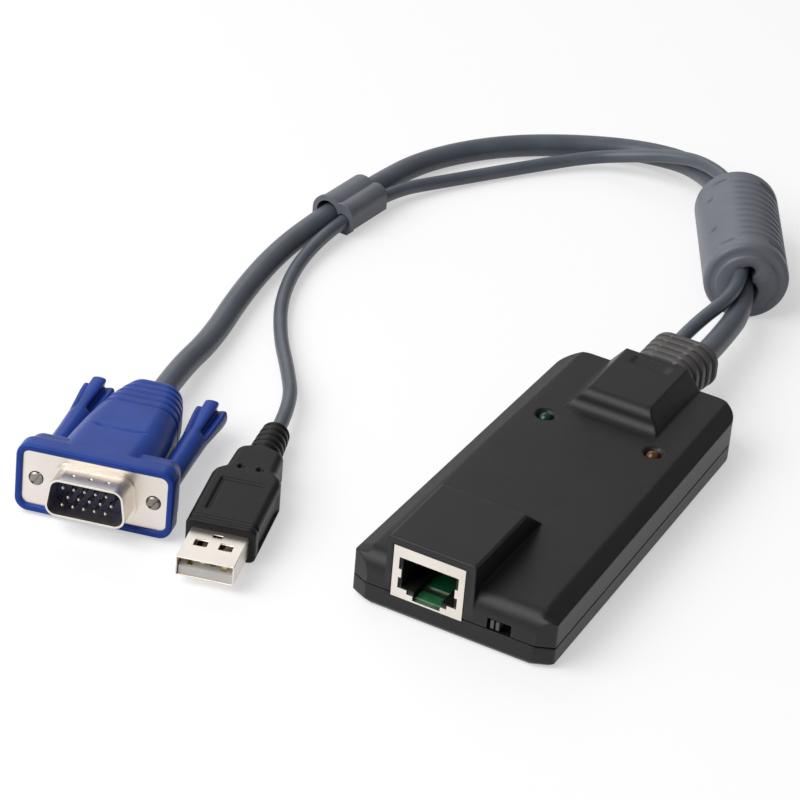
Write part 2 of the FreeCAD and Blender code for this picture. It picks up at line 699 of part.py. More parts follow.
def network_jack_contacts():
    """Eight spring contacts that lean back from the roof of the jack."""
    t = CONTACT_WIDTH
    top = PLUG_HIGH_Z
    low = top - CONTACT_DROP
    front = FRONT_Y + CONTACT_FRONT
    back = FRONT_Y + PLUG_DEPTH - JACK_BOARD_T
    springs = []
    for i in range(CONTACT_COUNT):
        x = JACK_X + (i - (CONTACT_COUNT - 1) / 2) * CONTACT_PITCH - t / 2
        bend = back - CONTACT_DROP
        outline = [V(x, front, top), V(x, bend, low - t / 2), V(x, back, low - t / 2),
                   V(x, back, low + t), V(x, bend + t / 2, low + t), V(x, front + CONTACT_FOOT, top)]
        springs.append(prism(Part.makePolygon(outline + outline[:1]), V(t, 0, 0)))
    return Part.makeCompound(springs)


def mode_switch_body():
    """Moulded case of the slide switch, open at the front over the slider's travel."""
    half = SWITCH_BODY_WIDTH / 2
    front = FRONT_Y + SWITCH_SET_BACK
    case = block(SWITCH_X - half, SWITCH_X + half, front, front + SWITCH_BODY_DEPTH,
                 JACK_Z, JACK_Z + SWITCH_BODY_HEIGHT)
    w = SWITCH_WALL
    rise = SLIDER_HEIGHT / 2 + SLIDER_CLEAR
    foot_rise = rise + SLIDER_FOOT
    room = block(SWITCH_X - half + w, SWITCH_X + half - w, front + w, front + SWITCH_BODY_DEPTH - w,
                 SLIDER_Z - foot_rise, SLIDER_Z + foot_rise)
    reach = (SLIDER_WIDTH + SLIDER_TRAVEL) / 2 + SLIDER_CLEAR
    slot = block(SWITCH_X - reach, SWITCH_X + reach, front - 1, front + w + 0.1,
                 SLIDER_Z - rise, SLIDER_Z + rise)
    return case.cut(room.fuse(slot))


def mode_switch_slider():
    """Actuator of the slide switch, drawn at the left end of its travel, with a finger groove."""
    left = SWITCH_X - (SLIDER_WIDTH + SLIDER_TRAVEL) / 2
    right = left + SLIDER_WIDTH
    front = FRONT_Y + SWITCH_SET_BACK
    rise = SLIDER_HEIGHT / 2
    inner = front + SWITCH_WALL + SLIDER_CLEAR
    stem = block(left, right, FRONT_Y + 0.2, inner + 0.5, SLIDER_Z - rise, SLIDER_Z + rise)
    rear = front + SWITCH_BODY_DEPTH - SWITCH_WALL - SLIDER_CLEAR
    foot = block(left - SLIDER_FOOT / 2, right + SLIDER_FOOT / 2, inner, rear,
                 SLIDER_Z - rise - SLIDER_FOOT, SLIDER_Z + rise + SLIDER_FOOT)
    middle, half = (left + right) / 2, SLIDER_GROOVE / 2
    groove = block(middle - half, middle + half, FRONT_Y, FRONT_Y + SLIDER_GROOVE_DEPTH,
                   SLIDER_Z - rise - 1, SLIDER_Z + rise + 1)
    return stem.fuse(foot).cut(groove).removeSplitter()


def lamp(x):
    """Round indicator lamp: a flange, a short cylinder and a domed lens."""
    y = FRONT_Y + LAMP_BACK
    base = LAMP_BASE_Z
    top = base + LAMP_FLANGE_T + LAMP_BODY
    body = rod(LAMP_FLANGE_R, V(x, y, base), V(x, y, base + LAMP_FLANGE_T))
    body = body.fuse(rod(LAMP_R, V(x, y, base), V(x, y, top)))
    dome = Part.makeSphere(LAMP_R, V(x, y, top)).common(block(x - 3, x + 3, y - 3, y + 3, top, top + 3))
    return body.fuse(dome).removeSplitter()


def lamp_leads():
    """Two square leads below each lamp, down to the board."""
    y = FRONT_Y + LAMP_BACK
    half = LAMP_LEAD / 2
    leads = []
    for x in (-LAMP_X, LAMP_X):
        for side in (-1, 1):
            centre = x + side * LAMP_LEAD_GAP / 2
            leads.append(block(centre - half, centre + half, y - half, y + half, JACK_Z, LAMP_BASE_Z))
    return Part.makeCompound(leads)


def main_chip():
    """Square package with a row of gull-wing leads on each side."""
    half = CHIP_SIZE / 2
    y = FRONT_Y + CHIP_BACK
    chip = block(-half, half, y - half, y + half, JACK_Z + CHIP_LEAD_T, JACK_Z + CHIP_LEAD_T + CHIP_T)
    leads = []
    top = JACK_Z + 2 * CHIP_LEAD_T
    for i in range(CHIP_LEADS):
        middle = (i - (CHIP_LEADS - 1) / 2) * CHIP_LEAD_PITCH
        low, high = middle - CHIP_LEAD_W / 2, middle + CHIP_LEAD_W / 2
        for side in (-1, 1):
            inner, outer = sorted((side * (half - CHIP_LEAD_T), side * (half + CHIP_LEAD_OUT)))
            leads.append(block(inner, outer, y + low, y + high, JACK_Z, top))
            leads.append(block(low, high, y + inner, y + outer, JACK_Z, top))
    return chip.multiFuse(leads).removeSplitter()


def converter_chip():
    """Small package that turns the video signal into data."""
    x, y = CONVERTER_X, FRONT_Y + CONVERTER_BACK
    across, along = CONVERTER_SIZE[0] / 2, CONVERTER_SIZE[1] / 2
    return block(x - across, x + across, y - along, y + along, JACK_Z, JACK_Z + CHIP_T)


def crystal():
    """Oval metal can of the clock crystal."""
    y = FRONT_Y + CRYSTAL_BACK - CRYSTAL_LENGTH
    half = CRYSTAL_WIDTH / 2
    reach = CRYSTAL_LENGTH / 2
    points = [V(CRYSTAL_X - half, y - reach, JACK_Z), V(CRYSTAL_X + half, y - reach, JACK_Z),
              V(CRYSTAL_X + half, y + reach, JACK_Z), V(CRYSTAL_X - half, y + reach, JACK_Z)]
    return prism(loop(points, [half * 0.98] * 4), V(0, 0, CRYSTAL_HEIGHT))


def capacitors():
    """Round capacitor cans on the board."""
    cans = []
    for x, back in CAPACITORS:
        y = FRONT_Y + back
        cans.append(rod(CAPACITOR_R, V(x, y, JACK_Z), V(x, y, JACK_Z + CAPACITOR_H)))
    return Part.makeCompound(cans)


def header(left, width):
    """Board connector that a cable's wires plug into."""
    y = REAR_Y - HEADER_REAR_INSET
    return block(left, left + width, y, y + HEADER_DEPTH, JACK_Z, JACK_Z + HEADER_HEIGHT)


def header_lefts():
    """Left edges of the video and USB board connectors."""
    return HEADER_GAP / 2 - HEADER_GAP, -HEADER_GAP / 2 - HEADER_GAP - HEADER_USB_WIDTH


def wires(x, radius):
    """Bundle of wires from the strain relief to its board connector."""
    start = REAR_Y - HEADER_REAR_INSET + HEADER_DEPTH
    stop = REAR_Y - WALL - BOOT_FLANGE_T
    z = JACK_Z + HEADER_HEIGHT / 2
    return rod(radius, V(x, start, z), V(x, stop, z))


def strain_relief():
    """Ribbed rubber boot held in the rear walls by its inner flange."""
    pitch = BOOT_LENGTH / BOOT_RIBS
    root = REAR_Y - WALL - BOOT_CLEAR
    boot = boot_form(BOOT_GROOVE_DEPTH)
    for i in range(BOOT_RIBS):
        gap = BOOT_GROOVE if i else 0
        start = REAR_Y + pitch * i + gap
        boot = boot.fuse(prism(boot_section((i + 0.5) / BOOT_RIBS, 0, start), V(0, pitch - gap, 0)))
    stop = REAR_Y + pitch * (BOOT_RIBS - 0.5)
    for x in (-BOOT_BRIDGE_X, BOOT_BRIDGE_X):
        left, right = x - BOOT_BRIDGE / 2, x + BOOT_BRIDGE / 2
        bridge = block(left, right, REAR_Y, stop, BOOT_Z, BOOT_Z + BOOT_ROOT_RISE)
        boot = boot.fuse(bridge.common(boot_form(BOOT_BRIDGE_DEPTH)))
    corner = BOOT_ROOT_RISE * 0.8
    neck = rounded_section(BOOT_ROOT_HALF, BOOT_ROOT_RISE, corner, 0, root - 1, BOOT_Z)
    flange = rounded_section(BOOT_ROOT_HALF + BOOT_FLANGE_OUT, BOOT_ROOT_RISE + BOOT_FLANGE_OUT, corner,
                             0, REAR_Y - WALL - BOOT_FLANGE_T, BOOT_Z)
    return boot.fuse([prism(neck, V(0, REAR_Y - root + 1.5, 0)),
                      prism(flange, V(0, BOOT_FLANGE_T - BOOT_CLEAR, 0))]).removeSplitter()


def cable(route, diameter, name):
    """Round tube along straight runs joined by arcs as large as the runs allow; prints the arcs' radii."""
    points = [V(*p) for p in route]
    radii = []
    edges = []
    start = points[0]
    for i in range(1, len(points) - 1):
        before, corner, after = points[i - 1], points[i], points[i + 1]
        reach = ARC_SHARE * min((corner - before).Length, (after - corner).Length)
        arc, radius = corner_arc(before, corner, after, reach)
        edges.append(Part.LineSegment(start, corner + unit(before - corner) * reach).toShape())
        edges.append(arc)
        start = corner + unit(after - corner) * reach
        radii.append(round(radius, 1))
    edges.append(Part.LineSegment(start, points[-1]).toShape())
    path = Part.Wire(edges)
    circle = Part.Wire(Part.makeCircle(diameter / 2, points[0], points[1] - points[0]))
    tube = path.makePipeShell([circle], True, True)
    expected = math.pi * diameter ** 2 / 4 * path.Length
    ratio = round(tube.Volume / expected, 4)
    print(name, "radii", radii, "length", round(path.Length, 1), "volume ratio", ratio)
    return tube


def ferrite_place():
    """Where the ferrite lies: its axis runs back from the end that faces the housing."""
    return FreeCAD.Placement(V(FERRITE_X, FERRITE_Y, FERRITE_Z), FreeCAD.Rotation(V(0, 0, 1), FERRITE_TURN))


def ferrite_core():
    """Hollow ferrite cylinder inside the moulded sleeve."""
    start, stop = V(0, FERRITE_END, 0), V(0, FERRITE_LENGTH - FERRITE_END, 0)
    core = rod(FERRITE_CORE_R, start, stop).cut(rod(FERRITE_BORE_R, start, stop))
    core.Placement = ferrite_place()
    return core


def ring_piece(start, length, depth, angle, sweep):
    """Part of a ring cut into the sleeve's skin, from an angle measured from its top to the right."""
    outer = Part.makeCylinder(FERRITE_R + 1, length, V(0, start, 0), V(0, 1, 0), sweep)
    piece = outer.cut(rod(FERRITE_R - depth, V(0, start - 1, 0), V(0, start + length + 1, 0)))
    piece.rotate(V(0, 0, 0), V(0, 1, 0), angle)
    return piece


def ferrite_sleeve():
    """Moulded sleeve over the core: stepped ends, fine ribs on one side and short slots near both ends."""
    r, e, n = FERRITE_R, FERRITE_EDGE_R, FERRITE_LENGTH
    ring, t = FERRITE_RING_R, FERRITE_RING_T
    points = [V(0, 0, 0), V(ring, 0, 0), V(ring, t, 0), V(r, t, 0),
              V(r, n - t, 0), V(ring, n - t, 0), V(ring, n, 0), V(0, n, 0)]
    sleeve = Part.Face(loop(points, [0, 0.3, 0, e, e, 0, 0.3, 0])).revolve(V(0, 0, 0), V(0, 1, 0), 360)
    if sleeve.Volume < 0:
        sleeve.reverse()
    cuts = [rod(FERRITE_CORE_R, V(0, FERRITE_END, 0), V(0, n - FERRITE_END, 0))]
    along = V(0, 1, 0)
    for rise, d in ((FERRITE_VIDEO_RISE, VIDEO_CABLE_D), (FERRITE_USB_RISE, USB_CABLE_D)):
        hole_r = d / 2 + FERRITE_HOLE_CLEAR
        wide_r = hole_r + FERRITE_MOUTH
        cuts.append(rod(hole_r, V(0, -1, rise), V(0, n + 1, rise)))
        cuts.append(Part.makeCone(wide_r, hole_r, FERRITE_END, V(0, 0, rise), along))
        cuts.append(Part.makeCone(hole_r, wide_r, FERRITE_END, V(0, n - FERRITE_END, rise), along))
    waist, low, high = USB_CABLE_D / 2, FERRITE_VIDEO_RISE, FERRITE_USB_RISE
    for start in (-1, n - FERRITE_END):
        cuts.append(block(-waist, waist, start, start + FERRITE_END + 1, low, high))
    first = (n - (FERRITE_RIBS - 1) * FERRITE_RIB_PITCH - FERRITE_RIB_GAP) / 2
    for i in range(FERRITE_RIBS):
        start = first + i * FERRITE_RIB_PITCH
        cuts.append(ring_piece(start, FERRITE_RIB_GAP, FERRITE_RIB_DEPTH,
                               FERRITE_RIB_FROM, FERRITE_RIB_SWEEP))
    for y in (SLOT_INSET, n - SLOT_INSET - SLOT_WIDTH):
        for angle in (SLOT_LEFT, SLOT_RIGHT):
            cuts.append(ring_piece(y, SLOT_WIDTH, SLOT_DEPTH, angle, SLOT_SWEEP))
    for y in NOTCH_BACKS:
        cuts.append(ring_piece(y, NOTCH_LENGTH, SLOT_DEPTH, NOTCH_ANGLE, NOTCH_SWEEP))
    sleeve = sleeve.cut(cuts)
    sleeve.Placement = ferrite_place()
    return sleeve


def clip_form(grow, start, stop):
    """Saddle over both cables: two arches on straight walls, with one lower corner cut off."""
    arch = CLIP_ARCH_R + grow
    side = CLIP_SIDE_R + grow
    right = CLIP_SIDE_X + side
    low = CLIP_BASE_Z
    outline = [V(-arch, start, low), V(right - CLIP_CHAMFER, start, low), V(right, start, low + CLIP_CHAMFER),
               V(right, start, CLIP_SIDE_Z), V(0, start, CLIP_ARCH_Z), V(-arch, start, CLIP_ARCH_Z)]
    body = prism(Part.makePolygon(outline + outline[:1]), V(0, stop - start, 0))
    body = body.fuse(rod(arch, V(0, start, CLIP_ARCH_Z), V(0, stop, CLIP_ARCH_Z)))
    body = body.fuse(rod(side, V(CLIP_SIDE_X, start, CLIP_SIDE_Z), V(CLIP_SIDE_X, stop, CLIP_SIDE_Z)))
    return body.common(block(-arch, right, start, stop, low, CLIP_ARCH_Z + arch))


def cable_clip():
    """Moulded saddle clip, one arch over each cable, with a raised lip at the end towards the plugs."""
    half = CLIP_LENGTH / 2
    clip = clip_form(0, -half, half).fuse(clip_form(CLIP_LIP, -half, CLIP_LIP_LENGTH - half))
    bores = []
    for x, z, radius in ((0, CLIP_VIDEO_Z, VIDEO_CABLE_D / 2 + CLIP_CLEAR),
                         (0, CLIP_ARCH_Z, CLIP_ARCH_BORE_R),
                         (CLIP_SPACING, CLIP_USB_Z, USB_CABLE_D / 2 + CLIP_CLEAR)):
        bores.append(rod(radius, V(x, -half - 1, z), V(x, half + 1, z)))
    clip = clip.cut(bores).removeSplitter()
    clip.Placement = FreeCAD.Placement(V(CLIP_X, CLIP_Y, 0), FreeCAD.Rotation(V(0, 0, 1), CLIP_TURN))
    return clip


def video_place():
    """Where the video plug lies: turned about z, with its nose a little up."""
    turn = FreeCAD.Rotation(V(0, 0, 1), VIDEO_TURN).multiply(FreeCAD.Rotation(V(1, 0, 0), -VIDEO_PITCH))
    return FreeCAD.Placement(V(VIDEO_X, VIDEO_Y, VIDEO_Z), turn)


def usb_place():
    """Where the USB plug lies: turned about z, flat on the table."""
    return FreeCAD.Placement(V(USB_X, USB_Y, USB_Z), FreeCAD.Rotation(V(0, 0, 1), USB_TURN))


def placed(shape, placement):
    """The shape moved from its own frame into the part's."""
    shape.Placement = placement
    return shape


def dee(inset, y):
    """Outline of the plug's shell: a trapezium with the wide side down and round corners."""
    lean = (DEE_TOP_HALF - DEE_LOW_HALF) / (2 * DEE_RISE) * inset
    top, low, rise = DEE_TOP_HALF - inset - lean, DEE_LOW_HALF - inset + lean, DEE_RISE - inset
    points = [V(-low, y, -rise), V(low, y, -rise), V(top, y, rise), V(-top, y, rise)]
    return loop(points, [DEE_R - inset] * 4)


def video_shell():
    """Drawn metal flange with the shell that stands out of it, dimpled along the top."""
    plate = prism(rounded_section(FLANGE_WIDTH / 2, FLANGE_HEIGHT / 2, FLANGE_R, 0, 0, 0), V(0, FLANGE_T, 0))
    shell = prism(dee(0, -DEE_OUT), V(0, DEE_OUT + DEE_REAR, 0))
    rim = prism(dee(-DEE_RIM, -DEE_RIM), V(0, DEE_RIM, 0))
    cuts = [prism(dee(DEE_SHEET, -DEE_OUT - 1), V(0, DEE_OUT + DEE_REAR + 2, 0))]
    for x in (-DIMPLE_PITCH, 0, DIMPLE_PITCH):
        cuts.append(Part.makeSphere(DIMPLE_R, V(x, -DEE_OUT * 0.55, DEE_RISE + DIMPLE_R * 0.7)))
    hole = JACKSCREW_R + JACKSCREW_CLEAR
    for x in (-SCREW_SPREAD, SCREW_SPREAD):
        cuts.append(rod(hole, V(x, -1, 0), V(x, FLANGE_T + 1, 0)))
    return placed(plate.fuse([shell, rim]).cut(cuts).removeSplitter(), video_place())


def pin_places():
    """Centres of the fifteen pins: three rows of five, the middle row half a pitch over."""
    places = []
    for row in (-1, 0, 1):
        shift = PIN_PITCH / 2 if row == 0 else 0
        for i in range(PINS_IN_ROW):
            places.append(((i - (PINS_IN_ROW - 1) / 2) * PIN_PITCH + shift - PIN_PITCH / 4, row * PIN_ROW))
    return places


def video_insert():
    """Moulded insulator that holds the pins inside the shell."""
    body = prism(dee(DEE_SHEET + POCKET_FIT, -INSERT_FACE), V(0, INSERT_FACE + INSERT_REAR, 0))
    holes = [rod(PIN_R + POCKET_FIT, V(x, -DEE_OUT, z), V(x, INSERT_REAR + 1, z)) for x, z in pin_places()]
    return placed(body.cut(holes), video_place())


def video_pins():
    """Fifteen round pins with bevelled tips."""
    pins = []
    for x, z in pin_places():
        pin = rod(PIN_R, V(x, -PIN_TIP, z), V(x, PIN_REAR, z))
        tip = [e for e in pin.Edges if len(e.Vertexes) == 1 and abs(e.Vertexes[0].Y + PIN_TIP) < 1e-6]
        pins.append(pin.makeChamfer(PIN_R * 0.4, tip))
    return placed(Part.makeCompound(pins), video_place())


def hood_form(shrink, start, stop):
    """Body of the hood between two places along its length, drawn in by shrink."""
    sections = [rounded_section(half - shrink, rise - shrink, (rise - shrink) * HOOD_ROUND, 0, y, 0)
                for y, half, rise in HOOD_SECTIONS]
    body = Part.makeLoft(sections, True, False)
    reach = HOOD_SECTIONS[0][1] + 1
    return body.common(block(-reach, reach, start, stop, -reach, reach))


def hood_groove(start, width, depth):
    """Ring cut round the hood that follows its outline."""
    reach = HOOD_SECTIONS[0][1] + 1
    slab = block(-reach, reach, start, start + width, -reach, reach)
    return slab.cut(hood_form(depth, start - 1, start + width + 1))


def video_hood():
    """Moulded hood: a collar round the flange, a domed body with ring grooves at its tail, screw bores."""
    front = -COLLAR_LIP
    first, last = HOOD_SECTIONS[0][0], HOOD_SECTIONS[-1][0]
    half, rise, step = COLLAR_WIDTH / 2, COLLAR_HEIGHT / 2, COLLAR_STEP
    collar = prism(rounded_section(half, rise, COLLAR_R, 0, front, 0), V(0, COLLAR_DEPTH - front, 0))
    ear_front = rounded_section(half - step, rise - step, COLLAR_R - step, 0, COLLAR_DEPTH, 0)
    ear_rear = rounded_section(EAR_WIDTH / 2, EAR_HEIGHT / 2, COLLAR_R, 0, EAR_DEPTH, 0)
    hood = collar.fuse([Part.makeLoft([ear_front, ear_rear], True, True), hood_form(0, first, last)])
    half, rise = FLANGE_WIDTH / 2 + POCKET_FIT, FLANGE_HEIGHT / 2 + POCKET_FIT
    pocket = rounded_section(half, rise, FLANGE_R, 0, front - 1, 0)
    cuts = [prism(pocket, V(0, FLANGE_T - front + 1, 0)),
            prism(dee(-POCKET_FIT, 0), V(0, DEE_REAR, 0)),
            prism(dee(DEE_SHEET, 0), V(0, INSERT_REAR, 0))]
    for i in range(TAIL_RIBS):
        cuts.append(hood_groove(TAIL_START + TAIL_PITCH * i, TAIL_GROOVE, TAIL_GROOVE_DEPTH))
    brow = block(BROW_LEFT, BROW_RIGHT, BROW_BACK - 1, BROW_BACK + BROW_WIDTH + 1, 0, HOOD_SECTIONS[0][1])
    cuts.append(hood_groove(BROW_BACK, BROW_WIDTH, BROW_DEPTH).common(brow))
    for x in (-SCREW_SPREAD, SCREW_SPREAD):
        cuts.append(rod(JACKSCREW_R + JACKSCREW_CLEAR, V(x, -1, 0), V(x, EAR_DEPTH + 1, 0)))
        cuts.append(rod(KNOB_END_R + KNOB_CLEAR, V(x, KNOB_START - KNOB_CLEAR, 0), V(x, KNOB_END + 1, 0)))
    return placed(hood.cut(cuts).removeSplitter(), video_place())


def thumbscrew_knob(x):
    """Long moulded knob, flared to the rear, with four grooves for the fingers."""
    start, stop = KNOB_START, KNOB_END
    points = [V(x, start, 0), V(x + KNOB_FRONT_R, start, 0), V(x + KNOB_WAIST_R, KNOB_FLARE, 0),
              V(x + KNOB_END_R, stop - 3, 0), V(x + KNOB_END_R, stop, 0), V(x, stop, 0)]
    knob = Part.Face(loop(points, [0, 0.4, 6.0, 1.0, 0.8, 0])).revolve(V(x, 0, 0), V(0, 1, 0), 360)
    if knob.Volume < 0:
        knob.reverse()
    cuts = [rod(JACKSCREW_R + JACKSCREW_FIT, V(x, start - 1, 0), V(x, start + JACKSCREW_IN, 0))]
    half, inner = KNOB_GROOVE / 2, KNOB_END_R - KNOB_GROOVE_DEPTH
    for i in range(KNOB_GROOVES):
        groove = block(inner, KNOB_END_R + 1, stop - KNOB_GROOVE_LENGTH, stop + 1, -half, half)
        groove.rotate(V(0, 0, 0), V(0, 1, 0), 45 + 360 / KNOB_GROOVES * i)
        groove.translate(V(x, 0, 0))
        cuts.append(groove)
    return placed(knob.cut(cuts), video_place())


def thumbscrew_shank(x):
    """Steel screw with a slotted tip that passes through the flange."""
    tip = -JACKSCREW_OUT
    shank = rod(JACKSCREW_R, V(x, tip, 0), V(x, KNOB_START + JACKSCREW_IN, 0))
    edge = [e for e in shank.Edges if len(e.Vertexes) == 1 and abs(e.Vertexes[0].Y - tip) < 1e-6]
    shank = shank.makeChamfer(0.3, edge)
    half, reach = JACKSCREW_SLOT / 2, JACKSCREW_R + 1
    slot = block(x - half, x + half, tip - 1, tip + 0.8, -reach, reach)
    slot.rotate(V(x, 0, 0), V(0, 1, 0), 35)
    return placed(shank.cut(slot), video_place())


def usb_shell():
    """Folded steel shell with two latch windows and a small notch, above and below."""
    half, rise = USB_SHELL_WIDTH / 2, USB_SHELL_HEIGHT / 2
    across, up = half - USB_SHEET, rise - USB_SHEET
    length = USB_SHELL_OUT + USB_SHELL_IN
    shell = block(-half, half, 0, length, -rise, rise).cut(block(-across, across, -1, length + 1, -up, up))
    cuts = []
    for x, across, y, along in ((-USB_WINDOW_X, USB_WINDOW, USB_WINDOW_BACK, USB_WINDOW_LONG),
                                (USB_WINDOW_X, USB_WINDOW, USB_WINDOW_BACK, USB_WINDOW_LONG),
                                (0, USB_NOTCH, USB_NOTCH_BACK, USB_NOTCH_LONG)):
        cuts.append(block(x - across / 2, x + across / 2, y, y + along, -rise - 1, rise + 1))
    keep = block(-half, half, 0, length, -up, up)
    windows = cuts[0].fuse(cuts[1:]).cut(keep)
    return placed(shell.cut(windows), usb_place())


def usb_tongue():
    """White moulded tongue that fills the lower half of the shell."""
    low = -USB_SHELL_HEIGHT / 2 + USB_SHEET
    half = USB_TONGUE_WIDTH / 2
    stop = USB_SHELL_OUT + USB_SHELL_IN
    return placed(block(-half, half, USB_TONGUE_FRONT, stop, low, low + USB_TONGUE_T), usb_place())


def usb_contacts():
    """Four flat contacts on the tongue; the outer two reach further forward."""
    z = -USB_SHELL_HEIGHT / 2 + USB_SHEET + USB_TONGUE_T
    half = USB_CONTACT_WIDTH / 2
    strips = []
    for x in USB_CONTACTS:
        start = USB_CONTACT_LONG if abs(x) > USB_CONTACTS[-1] / 2 else USB_CONTACT_SHORT
        strips.append(block(x - half, x + half, start, USB_SHELL_OUT, z, z + USB_CONTACT_T))
    return placed(Part.makeCompound(strips), usb_place())


def usb_grip():
    """Moulded grip: a flat body, a neck and a ribbed tail; on top a cross line, a corner line and two dots."""
    front = USB_SHELL_OUT - GRIP_OVER
    root = GRIP_BACK + SHOULDER
    body = prism(rounded_section(GRIP_HALF, GRIP_RISE, GRIP_R, 0, front, 0), V(0, GRIP_BACK - front, 0))
    wide = rounded_section(GRIP_HALF, GRIP_RISE, GRIP_R, 0, GRIP_BACK, 0)
    narrow = rounded_section(NECK_HALF, NECK_RISE, GRIP_R, 0, root, 0)
    shoulder = Part.makeLoft([wide, narrow], True, True)
    sections = [narrow, rounded_section(NECK_HALF - 0.3, NECK_RISE - 0.1, GRIP_R, 0, NECK_BACK - 1.2, 0),
                rounded_section(NECK_HALF - 1.0, NECK_RISE - 0.4, GRIP_R, 0, NECK_BACK, 0)]
    neck = Part.makeLoft(sections, True, True)
    length = USB_BOOT_BACK - NECK_BACK
    tail = Part.makeCone(USB_BOOT_R, USB_BOOT_TIP_R, length, V(0, NECK_BACK, 0), V(0, 1, 0))
    grip = body.fuse([shoulder, neck, tail])
    stop = USB_SHELL_OUT + USB_SHELL_IN
    half, rise = USB_SHELL_WIDTH / 2, USB_SHELL_HEIGHT / 2
    cuts = [block(-half, half, front - 1, stop, -rise, rise)]
    pitch = length / USB_BOOT_RIBS
    for i in range(USB_BOOT_RIBS):
        y = NECK_BACK + pitch * (i + 0.3)
        radius = USB_BOOT_R + (USB_BOOT_TIP_R - USB_BOOT_R) * (y - NECK_BACK) / length - USB_BOOT_GROOVE_DEPTH
        ring = rod(USB_BOOT_R + 3, V(0, y, 0), V(0, y + USB_BOOT_GROOVE, 0))
        cuts.append(ring.cut(rod(radius, V(0, y - 1, 0), V(0, y + USB_BOOT_GROOVE + 1, 0))))
    half = PANEL_WIDTH / 2
    top = GRIP_RISE - PANEL_DEPTH
    stop = PANEL_BACK + PANEL_LENGTH
    panel = block(-half, half, PANEL_BACK, stop, top, GRIP_RISE + 1)
    plain = block(PANEL_LINE - half, half + 1, PANEL_BACK - 1, stop - PANEL_LINE, top - 1, GRIP_RISE + 2)
    cuts.append(panel.cut(plain))
    half = GRIP_HALF + 1
    cuts.append(block(-half, half, BAND_BACK, BAND_BACK + BAND_LENGTH, GRIP_RISE - BAND_RISE, GRIP_RISE + 1))
    for x in (-DOT_X, DOT_X):
        cuts.append(rod(DOT_R, V(x, DOT_BACK, NECK_RISE - 0.8), V(x, DOT_BACK, GRIP_RISE + 1)))
    return placed(grip.cut(cuts).removeSplitter(), usb_place())


def build():
    """All pieces by name."""
    video_left, usb_left = header_lefts()
    pieces = {
        "top_cover": top_cover(),
        "bottom_cover": bottom_cover(),
        "cover_screws": cover_screws(),
        "circuit_board": circuit_board(),
        "network_jack_shield": network_jack_shield(),
        "network_jack_insert": network_jack_insert(),
        "network_jack_board": network_jack_board(),
        "network_jack_contacts": network_jack_contacts(),
        "mode_switch_body": mode_switch_body(),
        "mode_switch_slider": mode_switch_slider(),
        "link_lamp": lamp(-LAMP_X),
        "power_lamp": lamp(LAMP_X),
        "lamp_leads": lamp_leads(),
        "main_chip": main_chip(),
        "converter_chip": converter_chip(),
        "crystal": crystal(),
        "capacitors": capacitors(),
        "video_header": header(video_left, HEADER_VIDEO_WIDTH),
        "usb_header": header(usb_left, HEADER_USB_WIDTH),
        "video_wires": wires(video_left + HEADER_VIDEO_WIDTH * 0.4, WIRE_VIDEO_R),
        "usb_wires": wires(usb_left + HEADER_USB_WIDTH * 0.6, WIRE_USB_R),
        "strain_relief": strain_relief(),
        "video_cable": cable(VIDEO_ROUTE, VIDEO_CABLE_D, "video_cable"),
        "usb_cable": cable(USB_ROUTE, USB_CABLE_D, "usb_cable"),
        "ferrite_core": ferrite_core(),
        "ferrite_sleeve": ferrite_sleeve(),
        "cable_clip": cable_clip(),
        "video_hood": video_hood(),
        "video_shell": video_shell(),
        "video_insert": video_insert(),
        "video_pins": video_pins(),
        "thumbscrew_knob_left": thumbscrew_knob(-SCREW_SPREAD),
        "thumbscrew_knob_right": thumbscrew_knob(SCREW_SPREAD),
        "thumbscrew_shank_left": thumbscrew_shank(-SCREW_SPREAD),
        "thumbscrew_shank_right": thumbscrew_shank(SCREW_SPREAD),
        "usb_grip": usb_grip(),
        "usb_shell": usb_shell(),
        "usb_tongue": usb_tongue(),
        "usb_contacts": usb_contacts(),
    }
    return pieces


for name, shape in build().items():
    if not shape.isValid():
        print("not valid:", name)
    box = shape.BoundBox
    print("%-24s solids %2d volume %9.2f  x %.2f %.2f  y %.2f %.2f  z %.2f %.2f" % (
        name, len(shape.Solids), shape.Volume, box.XMin, box.XMax, box.YMin, box.YMax, box.ZMin, box.ZMax))
    shape.exportStep("parts/" + name + ".step")
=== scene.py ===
import math

import bmesh
import bpy
import numpy as np
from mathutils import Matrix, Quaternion, Vector


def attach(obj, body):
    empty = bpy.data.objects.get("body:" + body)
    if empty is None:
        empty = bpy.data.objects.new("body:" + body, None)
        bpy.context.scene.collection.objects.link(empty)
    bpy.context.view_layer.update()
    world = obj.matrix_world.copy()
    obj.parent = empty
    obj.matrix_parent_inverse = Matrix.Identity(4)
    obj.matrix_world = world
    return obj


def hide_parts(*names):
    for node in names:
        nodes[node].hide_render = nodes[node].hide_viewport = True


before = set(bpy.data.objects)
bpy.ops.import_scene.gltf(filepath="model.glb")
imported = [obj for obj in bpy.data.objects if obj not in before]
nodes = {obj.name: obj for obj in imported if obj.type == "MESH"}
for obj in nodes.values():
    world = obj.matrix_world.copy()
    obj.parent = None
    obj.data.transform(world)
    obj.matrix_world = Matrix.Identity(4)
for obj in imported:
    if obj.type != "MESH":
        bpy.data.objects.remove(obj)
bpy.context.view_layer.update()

# Camera
# A long lens looks down on the object from the front and a little from the right, as in the
# photograph, and is tipped slightly anticlockwise. Distances are in metres.
LENS = 157.5
SENSOR = 36.0
TARGET = Vector((-0.04878, 0.02291, 0.0))
DISTANCE = 0.75956
AZIMUTH = math.radians(26.16)
ELEVATION = math.radians(32.65)
ROLL = math.radians(4.98)

